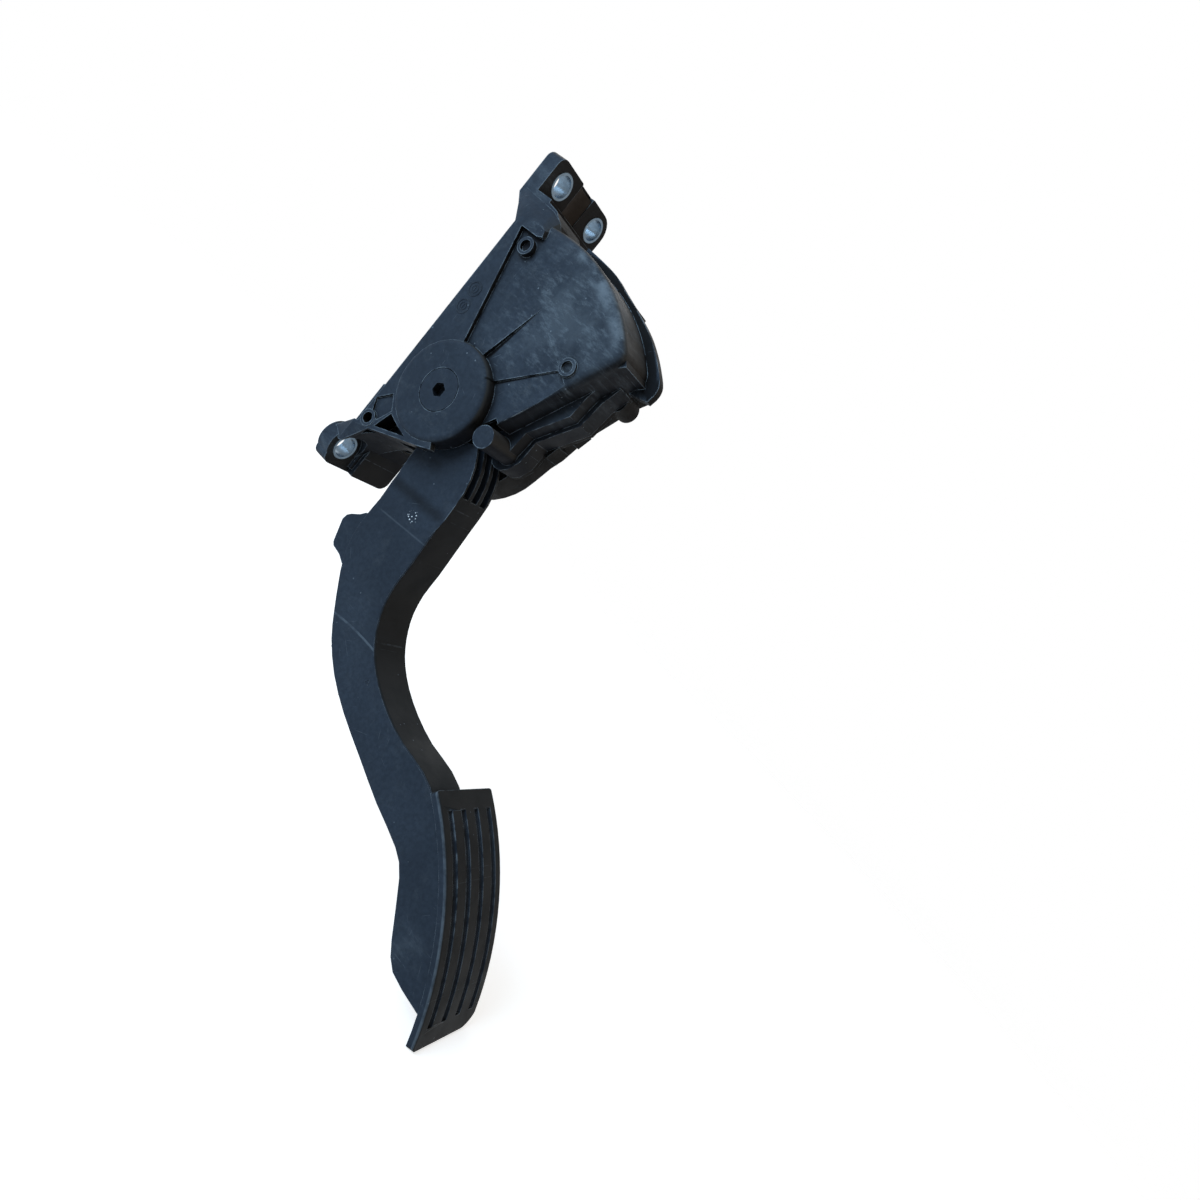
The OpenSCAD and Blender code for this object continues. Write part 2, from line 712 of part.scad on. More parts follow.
slot_w = (arm_w - slot_rib * (slot_count + 1)) / slot_count;
module arm_slots() {
    for (k = [0:slot_count - 1])
        across(arm_left + slot_rib + k * (slot_w + slot_rib), arm_left + (k + 1) * (slot_w + slot_rib))
            polygon(from_pivot([[-45, -25.2], [-45, -4], [-21, -4], [-19.4, -12], [-20, -25.2]]));
}

// Stop nose on the front of the arm
module arm_nose() {
    across(arm_left + 0.2, arm_right - 0.2)
        polygon(from_pivot([[-8, -55], [-2.6, -57.2], [-0.6, -59.6], [3, -62.2], [4.6, -64], [5, -66.4],
            [2.6, -72.6], [1.4, -75.6], [0, -76.8], [-5.2, -77.4], [-9, -79]]));
}

drum_r = hub_r - wall - 0.6;
tail_r = inner_r - 4.4;
module arm_drum() {
    rod(pivot, drum_r, arm_left - 0.1, arm_right + 0.1);
    // Tail that reaches up into the fan and carries springs and shoe
    across(arm_left + 1, arm_right - 1)
        intersection() {
            polygon([[tail_front, pivot[1]], [tail_front, pivot[1] + tail_r + 5],
                [tail_rear, pivot[1] + tail_r + 5], [tail_rear, pivot[1] + 30], [tail_rear - 6, pivot[1]]]);
            circle_at(pivot, tail_r);
        }
}

// Pad plate as a turned band, with its corners and grooves
module pad_band(profile, a0, sweep) {
    translate([0, (pivot + pad_centre)[0], (pivot + pad_centre)[1]])
        rotate([90, 0, 90])
            rotate([0, 0, a0])
                rotate_extrude(angle = sweep)
                    polygon(profile);
}

pad_left = arm_left - pad_lip;
pad_right = pad_left + pad_w;
pad_edge = 1.2;
pad_profile = concat(
    arc([pad_r - pad_edge, pad_left + pad_edge], pad_edge, 0, -90, 4),
    arc([pad_r - pad_t + 0.6, pad_left + 0.6], 0.6, 270, 180, 2),
    arc([pad_r - pad_t + 0.6, pad_right - 0.6], 0.6, 180, 90, 2),
    arc([pad_r - pad_edge, pad_right - pad_edge], pad_edge, 90, 0, 4));

// Places its children on the pad's surface at an angle down its curve, X across, Y down the pad, Z out
module on_pad(a) {
    translate([0, (pivot + pad_centre)[0], (pivot + pad_centre)[1]])
        rotate([90, 0, 90])
            rotate([0, 0, pad_top_angle + a])
                translate([pad_r, 0, 0])
                    rotate([0, 90, 0])
                        children();
}

module pad() {
    groove_pitch = (pad_w - 3.2) / groove_count;
    end_angle = groove_end / pad_r * 180 / PI;
    difference() {
        pad_band(pad_profile, pad_top_angle, pad_sweep);
        for (k = [0:groove_count - 1]) {
            x = pad_left + pad_w / 2 + (k - (groove_count - 1) / 2) * groove_pitch;
            pad_band([[pad_r + 1, x + groove_w / 2 + 0.4],
                [pad_r - groove_deep * 0.6, x + groove_w / 2 - 0.2],
                [pad_r - groove_deep, x + groove_w / 4], [pad_r - groove_deep, x - groove_w / 4],
                [pad_r - groove_deep * 0.6, x - groove_w / 2 + 0.2], [pad_r + 1, x - groove_w / 2 - 0.4]],
                pad_top_angle + end_angle, pad_sweep - 2 * end_angle);
        }
        pad_corner(0, pad_right, -1, 3, 1);
        pad_corner(0, pad_left, 1, 2, 1);
        pad_corner(pad_sweep, pad_right, -1, 9, -1);
        pad_corner(pad_sweep, pad_left, 1, 2.4, -1);
    }
    pad_ribs();
}

// Cuts one corner of the pad to a radius
module pad_corner(a, x, side, r, end) {
    on_pad(a)
        translate([-x, 0, -pad_t - 3])
            difference() {
                translate([side > 0 ? -r : -0.5, end > 0 ? -1.5 : -r, 0])
                    cube([r + 0.5, r + 1.5, pad_t + 5]);
                translate([-side * (r - 0.08), end * (r - 0.08), -1])
                    cylinder(r = r, h = pad_t + 8);
            }
}

// Gusset ribs under the pad's overhanging side
module pad_ribs() {
    for (k = [0.14:0.18:0.87])
        on_pad(pad_sweep * k)
            rotate([90, 0, 0])
                translate([0, 0, -0.9])
                    linear_extrude(height = 1.8)
                        polygon([[-arm_right + 1.4, -pad_t + 0.6], [-pad_right + 2, -pad_t + 0.6],
                            [-pad_right + 2, -pad_t - 1.2], [-arm_right + 1.4, -pad_t - 10]]);
}

module pedal_arm() {
    color([0.15, 0.18, 0.22])
        difference() {
            union() {
                arm_beam();
                arm_nose();
                arm_drum();
                pad();
            }
            rod(pivot, pin_d / 2 + touch, arm_left - 1, arm_right + 1);
            // Seat hole for the spring cup
            translate([arm_middle, tail_rear - 1, spring_up])
                rotate([-90, 0, 0])
                    cylinder(r = seat_stem_r + touch, h = seat_stem + 1.3);
            shoe_tenon(touch);
        }
}

// Pivot, bushes and the rotor of the sensor

holder_x = cover_plane + 5;
magnet_x = holder_x + 1.5;
chip_x = magnet_x + magnet_t + air_gap;
chip_t = 1.2;
board_x = chip_x + chip_t;

module pivot_pin() {
    color("silver")
        difference() {
            union() {
                rod(pivot, pin_head_d / 2, hub_face, hub_face + pin_head_h);
                rod(pivot, pin_d / 2, hub_face, holder_x);
            }
            translate([hub_face - 1, pivot[0], pivot[1]])
                rotate([0, 90, 0])
                    cylinder(d = pin_socket_d, h = 5, $fn = 6);
        }
}

module bush(x0, x1) {
    color("dimgray")
        difference() {
            rod(pivot, bush_hole_r - touch, x0, x1);
            rod(pivot, pin_d / 2 + bush_gap, x0 - 1, x1 + 1);
        }
}

bush_len = 5.4;

module left_bush() {
    bush(arm_left - arm_gap - bush_len, arm_left - arm_gap);
}

module right_bush() {
    bush(cover_plane - 0.4, cover_plane + floor_t + 0.4);
}

module magnet_holder() {
    color("ivory")
        difference() {
            rod(pivot, magnet_d / 2 + 2, cover_plane + floor_t + 0.8, magnet_x + magnet_t - 0.4);
            rod(pivot, pin_d / 2 + touch, holder_x - 4, holder_x);
            rod(pivot, magnet_d / 2 + touch, magnet_x, magnet_x + magnet_t + 1);
        }
}

module magnet() {
    color("darkgray")
        rod(pivot, magnet_d / 2, magnet_x, magnet_x + magnet_t);
}

// Springs, their seats and the friction shoe

seat_stem_r = 2.4;
seat_stem = 4;
spring_front_y = tail_rear - seat_t;
spring_rear_y = seat_y + seat_t;
spring_len = spring_front_y - spring_rear_y;
spring_at = [arm_middle, spring_up];

// Round seat with a spigot inside the springs; dir is 1 where its spring lies behind it
module spring_seat(y, dir) {
    translate([spring_at[0], y, spring_at[1]])
        rotate([90 * dir, 0, 0]) {
            cylinder(r = seat_r, h = seat_t);
            cylinder(r = inner_d / 2 - inner_wire - 0.4, h = seat_t + 3);
            children();
        }
}

module spring_cup() {
    color("ivory")
        spring_seat(tail_rear, 1)
            translate([0, 0, -seat_stem])
                cylinder(r = seat_stem_r, h = seat_stem + 0.5);
}

module fixed_spring_seat() {
    color("ivory")
        spring_seat(seat_y, -1);
}

// Coil spring along Y with flat-laid end turns
module coil_spring(d, wire, turns) {
    sides = 8;
    per_turn = 14;
    count = turns * per_turn;
    r = (d - wire) / 2;
    rise = spring_len - wire - 0.04;
    // The first and last turn lie closed
    function climb(t) = let (e = 0.8) t < e ? wire * t / turns * 0.2
        : t > turns - e ? rise - wire * (turns - t) / turns * 0.2
        : (rise) * (t - e) / (turns - 2 * e);
    rings = [for (i = [0:count]) let (
        t = i / per_turn,
        a = 360 * t,
        y = climb(t))
        [for (k = [0:sides - 1]) let (w = 360 * k / sides)
            [(r + wire / 2 * cos(w)) * cos(a), (r + wire / 2 * cos(w)) * sin(a),
                wire / 2 + 0.02 + y + wire / 2 * sin(w)]]];
    translate([spring_at[0], spring_front_y, spring_at[1]])
        rotate([90, 0, 0])
            loft(rings);
}

module outer_return_spring() {
    color("gainsboro")
        coil_spring(spring_d, wire_d, coils);
}

module inner_return_spring() {
    color("gainsboro")
        coil_spring(inner_d, inner_wire, inner_coils);
}

shoe_a0 = 86;
shoe_a1 = 100;
shoe_r = inner_r - shoe_gap;

module shoe_tenon(extra) {
    across(arm_left + 4 - extra, arm_right - 4 + extra)
        translate(pivot)
            polygon([[-3 - extra, tail_r - 3 - extra], [3 + extra, tail_r - 3 - extra],
                [3 + extra, tail_r + 1], [-3 - extra, tail_r + 1]]);
}

module friction_shoe() {
    color("peru") {
        across(arm_left + 2, arm_right - 2)
            difference() {
                intersection() {
                    circle_at(pivot, shoe_r);
                    polygon([pivot, pivot + polar(shoe_r + 5, shoe_a1), pivot + polar(shoe_r + 5, shoe_a0)]);
                }
                circle_at(pivot, tail_r);
            }
        intersection() {
            shoe_tenon(0);
            rod(pivot, tail_r + 0.5, arm_left, arm_right);
        }
    }
}

module idle_buffer() {
    color([0.1, 0.1, 0.1])
        translate([arm_middle, buffer_land_y, pivot[1] + buffer_up])
            rotate([90, 0, 0]) {
                cylinder(r = buffer_r, h = buffer_land_y - tail_front - 0.3);
                translate([0, 0, -6])
                    cylinder(r = buffer_stem_r - touch, h = 6.5);
            }
}

// Sensor cover, its lid and what it holds

cover_right = cover_plane + cover_depth;
floor_t = 2.4;
side_r = hub_r + 9.2;
cover_r = fan_r - 6;
mouth_z = pivot[1] + fan_r - mouth_drop;
socket_front = -32;
socket_rear = -60;
socket_left = cover_plane + floor_t - 0.4;
socket_right = cover_right;
socket_floor = mouth_z - 19.5;
board_low = pivot[1] - 12;
board_high = pivot[1] + fan_r - 26;
board_front = -23;
board_rear = -62;

// Outline of the cover's box, clockwise from the low front corner: round below, a fan above
cover_box = concat(
    arc(pivot, side_r, -acos((front_wall_y - pivot[0]) / side_r), -170, 14),
    [[-70.5, 50], [-72.6, 56], [-74.2, 65], [-76.4, 73], [-79.5, 81], [-82.4, 89]],
    arc(pivot, cover_r, 134, 76, 14),
    [[front_wall_y, pivot[1] + cover_r * sin(76) - 4]]);

module cover_outline(d) {
    polygon(inset(cover_box, d));
}

module sensor_cover() {
    color([0.13, 0.15, 0.18])
        difference() {
            union() {
                difference() {
                    union() {
                        across(cover_plane, cover_right)
                            cover_outline(0);
                        across(cover_plane, cover_plane + floor_t)
                            polygon(concat([[-34, 100], [-82, 88]], arc(pivot, fan_r, 132, 84, 12)));
                        across(cover_plane, cover_plane + floor_t)
                            polygon(inset(second_outline, 0.2));
                        rod(lower_boss, boss_r + 1.2, cover_plane, cover_plane + floor_t);
                        connector_shroud();
                        cover_tabs();
                    }
                    across(cover_plane + floor_t, cover_right + 1)
                        cover_outline(cover_wall);
                }
                // Bearing boss, board posts and the shroud's inner end
                rod(pivot, bush_hole_r + 2, cover_plane - 0.4, cover_plane + floor_t + 0.4);
                intersection() {
                    connector_shroud();
                    across(cover_plane, cover_right)
                        cover_outline(0.5);
                }
                for (p = board_posts)
                    rod(p, 2.6, cover_plane + 1, board_x);
                for (p = board_posts)
                    rod(p, 1.2, board_x - 1, board_x + board_t + 0.8);
            }
            socket_space();
            rod(pivot, bush_hole_r, cover_plane - 2, cover_plane + floor_t + 2);
            for (p = cover_bolts) {
                rod(p, 1.9, cover_plane - 1, cover_plane + 4);
                rod(p, 3.4, cover_plane + floor_t, cover_plane + floor_t + 3);
            }
            contact_slots();
        }
}

board_posts = [[board_front - 3, board_low + 4], [board_front - 3, board_high - 3],
    [board_rear + 3, board_high - 3], [board_rear + 3, board_low + 12]];
cover_bolts = [upper_boss, rear_boss, lower_boss];

module connector_shroud() {
    translate([socket_left, socket_rear, socket_floor - 2])
        cube([socket_right - socket_left, socket_front - socket_rear, mouth_z - socket_floor + 2]);
}

module socket_space() {
    translate([socket_left + 2, socket_rear + 2, socket_floor])
        cube([socket_right - socket_left - 4, socket_front - socket_rear - 4, mouth_z - socket_floor + 1]);
}

// Snap tabs and a screw lobe along the cover's rear edge
module cover_tabs() {
    rod([-83.6, 88.4], 5, cover_plane, cover_plane + 12);
    for (p = [[-79.2, 79.2], [-76.8, 68], [-73.6, 57]])
        translate([cover_plane, p[0], p[1]])
            rotate([14, 0, 0])
                translate([0, -3.2, -3.4])
                    cube([9.4, 6.4, 6.8]);
}

contact_w = 1.5;
contact_t = 0.7;
contact_x = board_x - contact_t;
contact_top = socket_floor + 11;
contact_low = board_high - 5;

// Place of a contact along the row, and of the capacitor beside it
function contact_y(k) = (socket_front + socket_rear) / 2 + (k - (pin_count - 1) / 2) * pin_pitch;

module contact(k, extra) {
    translate([contact_x - extra, contact_y(k) - contact_w / 2 - extra, contact_low - extra])
        cube([contact_t + 2 * extra, contact_w + 2 * extra, contact_top - contact_low + 2 * extra]);
}

module contact_slots() {
    for (k = [0:pin_count - 1])
        intersection() {
            contact(k, touch);
            translate([0, -100, socket_floor - 3])
                cube([60, 100, 4]);
        }
}

module connector_pins() {
    color("gold")
        for (k = [0:pin_count - 1])
            contact(k, 0);
}

module sensor_lid() {
    color([0.12, 0.14, 0.17])
        across(cover_right, cover_right + lid_t)
            cover_outline(0.6);
}

module cover_screws() {
    color("silver")
        for (p = cover_bolts) {
            rod(p, 1.8, cover_plane - 9, cover_plane + floor_t + 0.5);
            difference() {
                rod(p, 3.1, cover_plane + floor_t + touch, cover_plane + floor_t + 2.2);
                translate([cover_plane + floor_t + 1, p[0], p[1]])
                    rotate([0, 90, 0])
                        cylinder(d = 3, h = 3, $fn = 6);
            }
        }
}

module circuit_board() {
    color("darkgreen")
        difference() {
            translate([board_x, board_rear, board_low])
                cube([board_t, board_front - board_rear, board_high - board_low]);
            for (p = board_posts)
                rod(p, 1.2 + touch, board_x - 1, board_x + board_t + 1);
        }
}

module hall_sensors() {
    color([0.1, 0.1, 0.1])
        for (dy = [-2.7, 2.7])
            translate([chip_x, pivot[0] + dy - 2.5, pivot[1] - 3])
                cube([chip_t, 5, 6]);
}

module board_capacitors() {
    color("khaki")
        for (k = [0:pin_count - 1])
            translate([board_x - 1.3, contact_y(k) - 0.8, board_high - 16])
                cube([1.3, 1.6, 3.2]);
}

housing();
upper_left_sleeve();
upper_right_sleeve();
lower_sleeve();
pedal_arm();
pivot_pin();
left_bush();
right_bush();
spring_cup();
fixed_spring_seat();
outer_return_spring();
inner_return_spring();
friction_shoe();
idle_buffer();
sensor_cover();
sensor_lid();
cover_screws();
circuit_board();
hall_sensors();
board_capacitors();
connector_pins();
magnet_holder();
magnet();
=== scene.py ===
# Looks for the accelerator pedal module: worn, dusty glass-filled nylon and zinc-plated sleeves.
# The scene adds what the solids leave out: small moulded marks and hollows, one land of the pad,
# and coiled return springs in place of the CAD ones. Lengths are in metres in the part's frame,
# except where a comment says millimetres.
import json
import math

import bmesh
import bpy
from mathutils import Matrix, Vector


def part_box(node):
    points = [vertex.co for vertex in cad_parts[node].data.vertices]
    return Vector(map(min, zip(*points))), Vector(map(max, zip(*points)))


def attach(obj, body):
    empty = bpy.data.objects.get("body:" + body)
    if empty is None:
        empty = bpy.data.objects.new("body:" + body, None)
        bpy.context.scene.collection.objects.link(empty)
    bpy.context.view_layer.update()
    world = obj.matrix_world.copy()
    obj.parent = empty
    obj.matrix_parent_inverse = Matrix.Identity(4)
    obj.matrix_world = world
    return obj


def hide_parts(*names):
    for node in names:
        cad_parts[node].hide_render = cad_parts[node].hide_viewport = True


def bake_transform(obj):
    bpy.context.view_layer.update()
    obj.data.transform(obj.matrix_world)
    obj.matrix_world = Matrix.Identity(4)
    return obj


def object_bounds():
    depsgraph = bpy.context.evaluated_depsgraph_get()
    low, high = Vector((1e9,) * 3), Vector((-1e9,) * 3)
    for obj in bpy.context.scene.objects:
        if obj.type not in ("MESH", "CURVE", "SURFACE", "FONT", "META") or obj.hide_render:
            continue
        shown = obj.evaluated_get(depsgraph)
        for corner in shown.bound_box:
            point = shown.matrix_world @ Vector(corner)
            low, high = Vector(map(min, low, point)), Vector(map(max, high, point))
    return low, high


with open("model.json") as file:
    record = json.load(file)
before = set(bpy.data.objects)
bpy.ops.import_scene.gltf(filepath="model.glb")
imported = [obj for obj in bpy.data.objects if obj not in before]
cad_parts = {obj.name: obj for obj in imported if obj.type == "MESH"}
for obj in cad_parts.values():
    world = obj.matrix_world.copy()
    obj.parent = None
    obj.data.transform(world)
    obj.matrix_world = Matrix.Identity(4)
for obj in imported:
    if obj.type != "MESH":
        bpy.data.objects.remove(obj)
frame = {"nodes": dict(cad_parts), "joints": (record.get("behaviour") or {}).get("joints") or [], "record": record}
cad_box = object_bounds()
MM = 0.001

# Camera of the photograph: its lens and sensor are in millimetres
CAMERA_AT = Vector((-0.270, -0.26439, 0.07208))
CAMERA_RIGHT = Vector((0.392908, -0.647965, 0.652505))
CAMERA_UP = Vector((-0.175747, 0.643579, 0.744927))
CAMERA_LENS = 25.5
CAMERA_SENSOR = 36.0
CAMERA_CLIP = (0.01, 50.0)

# Floor and surround: radii, the glow where the floor is seen, and the light from around
FLOOR_RADIUS = 4.0
FLOOR_FADE = (0.45, 1.3)
FLOOR_GLOW = 0.70
WHITE = (1.0, 1.0, 1.0, 1.0)
SURROUND_TINT = (1.0, 0.96, 0.91, 1.0)
SURROUND_STRENGTH = 0.15
# Square lamps: name, place, side, watts, colour
LAMPS_AIM = Vector((0.01, -0.09, 0.02))
LAMPS = (("key", (-1.15, 0.45, 0.75), 0.9, 22.0, (0.60, 0.81, 1.0)),
         ("fill", (0.5, -1.3, 0.5), 0.9, 2.0, (1.0, 0.76, 0.54)),
         ("rim", (0.7, 0.8, 0.7), 0.8, 2.0, (1.0, 0.97, 0.93)))

# Shading of the loaded meshes
WELD_DISTANCE = 0.002 * MM
EDGE_SOFTENING = 0.35 * MM
SOFTENED_ABOVE = math.radians(38)
SOFTENED_SLOTS = ("housing_plastic", "arm_plastic", "cover_plastic")
SMOOTH_BELOW = math.radians(27)
LARGE_FACE_WEIGHT = 80

# Colours as linear values
NYLON_BLUE_BLACK = (0.0300, 0.0392, 0.0540)
NYLON_ARM = (0.0275, 0.0360, 0.0500)
NYLON_COVER = (0.0125, 0.0122, 0.0120)
# Painted light: a lighter, browner copy of the nylon for the hollow between the upper lugs
LUG_HOLLOW_LIT_TONE = (0.055, 0.047, 0.041)
DUST = (0.085, 0.098, 0.112)
# Pale worn nylon, also used as painted highlight on edges and roundings
PALE_WEAR_AND_HIGHLIGHT = (0.20, 0.24, 0.28)
BRIGHT_NICK = (0.62, 0.66, 0.70)
# Painted shade for corners, bends, steps and the rim behind the fan's wall
PAINTED_SHADE = (0.0050, 0.0047, 0.0045)
ZINC = (0.135, 0.185, 0.235)
SPRING_STEEL = (0.36, 0.36, 0.355)
SCREW_ZINC = (0.58, 0.57, 0.52)
CONTACT_TIN = (0.66, 0.64, 0.58)
BEARING_ACETAL = (0.10, 0.10, 0.105)
SEAT_ACETAL = (0.62, 0.58, 0.48)
SHOE_LINING = (0.22, 0.13, 0.07)
CHIP_EPOXY = (0.02, 0.02, 0.021)
CAPACITOR_BROWN = (0.36, 0.24, 0.13)
MAGNET_FERRITE = (0.06, 0.058, 0.056)
RUBBER_BLACK = (0.012, 0.012, 0.012)
RUBBER_BLOOM = (0.035, 0.034, 0.032)
SOLDER_MASK = (0.006, 0.055, 0.022)
COPPER_TRACK = (0.020, 0.13, 0.045)
PALE_FLOOR = (0.86, 0.86, 0.85)
# Painted light and shade by facing: faces that don't look left lose the blue tone, lighter and warmer on the
# housing, darker on the arm, and darker still where they look down
HOUSING_AWAY_PAINTED_LIGHT = (0.047, 0.045, 0.042)
ARM_AWAY_PAINTED_SHADE = (0.0198, 0.0203, 0.0198)
DOWNWARD_PAINTED_SHADE = (0.0070, 0.0076, 0.0098)
# Specular level of the dull nylon
NYLON_SPECULAR = 0.035

# Places that the marks are measured from
HUB_FACE_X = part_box("pivot_pin")[0].x
STRIP_FACE_X = HUB_FACE_X + 1.0 * MM
FAN_FACE_X = STRIP_FACE_X + 2.0 * MM
ARM_FACE_X = -4.0 * MM
RIM_FACE_X = 13.5 * MM
FAN_R = 76.0 * MM
PIVOT = Vector(frame["joints"][0]["pos_m"])
RIM_CORNER = (RIM_FACE_X, -94.4 * MM, 99.5 * MM)
# The pad's arc in the side view, and the land between its first two grooves: angles in degrees
PAD_CENTRE = Vector((0, -86.447 * MM, -169.756 * MM))
PAD_R = 125.0 * MM
PAD_LEFT = -4.8 * MM
LAND_ANGLES = (121.84, 156.44)
LAND_X = (2.826 * MM, 8.674 * MM)
# Feet of the fan's two steps in the side view, from the hub outwards, and the width of the painted shadow at them
STEP_LINES = (((-43.0 * MM, 69.0 * MM), (-50.1 * MM, 94.4 * MM)),
              ((-51.4 * MM, 62.0 * MM), (-74.4 * MM, 81.8 * MM)))
STEP_SHADOW_WIDTH = 1.0 * MM
# Scuffed areas: middle, inner and outer reach, strength
HOUSING_SCUFFS = (((-0.010, -0.066, 0.098), 0.012, 0.050, 1.25),
                  ((-0.004, -0.0060, 0.1330), 0.003, 0.014, 0.8),
                  ((-0.005, -0.0050, -0.0010), 0.002, 0.010, 0.8),
                  ((-0.006, -0.0840, 0.0770), 0.001, 0.006, 1.3),
                  ((-0.011, -0.0250, 0.1150), 0.001, 0.007, 1.2))
ARM_SCUFFS = (((-0.004, -0.1760, -0.1060), 0.002, 0.011, 0.6),
              ((-0.004, -0.0720, -0.0430), 0.004, 0.020, 0.22))
# Bends of the shallow slope under the hub, in the side view: start, end, half width
NECK_UPPER = ((-40.0 * MM, 6.8 * MM), (-71.0 * MM, 9.4 * MM), 4.0 * MM)
NECK_LOWER = ((-46.0 * MM, -5.3 * MM), (-72.9 * MM, -2.1 * MM), 0.6 * MM)
# Middle and reach of the chips on the arm's ridge
CHIPPED_RIDGE = (-0.004, -0.0600, 0.0020)
CHIPS_REACH = 3.0 * MM
# How far the painted shade reaches out of corners, and the width of the pale worn edges, which are partly painted
# highlight
CORNER_REACH = 6 * MM
WORN_AND_LIT_EDGE_WIDTH = 0.7 * MM

# Raised marks: how deep their feet stand in the face, their sizes, and their places in the side
# view in millimetres
MARK_FOOT = 0.3 * MM
DATE_RING_R = 2.9 * MM
DATE_RING_WIDTH = 0.6 * MM
DATE_INNER_R = DATE_RING_R * 0.52
DATE_INNER_WIDTH = 0.4 * MM
DATE_BAR_REACH = 1.0 * MM
DATE_BAR_WIDTH = 0.45 * MM
DATE_RING_RELIEF = 0.18 * MM
DATE_RINGS_AT = ((-20.4, 84.5), (-21.0, 76.6))
MOULD_MARK_WIDTH = 0.35 * MM
MOULD_MARK_RELIEF = 0.12 * MM
MOULD_MARK_CORNERS = ((-94.4, -56.4), (-91.8, -56.2), (-93.3, -54.2))
# A bar's section as shares of its width and relief, and its size at shares of its length
BAR_SECTION = ((-0.5, 0.0), (-0.42, 0.75), (-0.2, 1.0), (0.2, 1.0), (0.42, 0.75), (0.5, 0.0))
BAR_SIZES = ((0.0, 0.55), (0.08, 1.0), (0.5, 1.0), (0.92, 1.0), (1.0, 0.55))
# Dished floors of the fan's blind bosses: Y and Z in millimetres, then X in metres
BOSS_FLOORS_AT = ((-27.0, 109.2, FAN_FACE_X - 1.0 * MM), (-76.5, 84.4, FAN_FACE_X - 0.2 * MM))
BOSS_FLOOR_R = 2.36 * MM
BOSS_FLOOR_HOLLOW = 0.5 * MM
# A dish's rings, as shares of its radius and of its hollow
DISH_PROFILE = ((1.0, 0.0), (0.8, 0.35), (0.5, 0.8), (0.2, 1.0))
# Hollow between the upper lugs: its sides, its bottom and top, and in millimetres before Y = 0
# its front at the sides, the hollow of its middle, and its back
VALLEY_X = (12.3 * MM, 25.3 * MM)
VALLEY_Z = (129.2 * MM, 145.2 * MM)
VALLEY_FRONT, VALLEY_HOLLOW, VALLEY_BACK = 7.2, 1.3, 4.5
VALLEY_COLUMNS, VALLEY_ROWS = 16, 6
# Return springs: CAD node, thickness of the wire, turns; and the turns laid flat at each end
SPRINGS = (("outer_return_spring", 1.6 * MM, 6), ("inner_return_spring", 1.2 * MM, 8))
FLAT_TURNS = 0.8


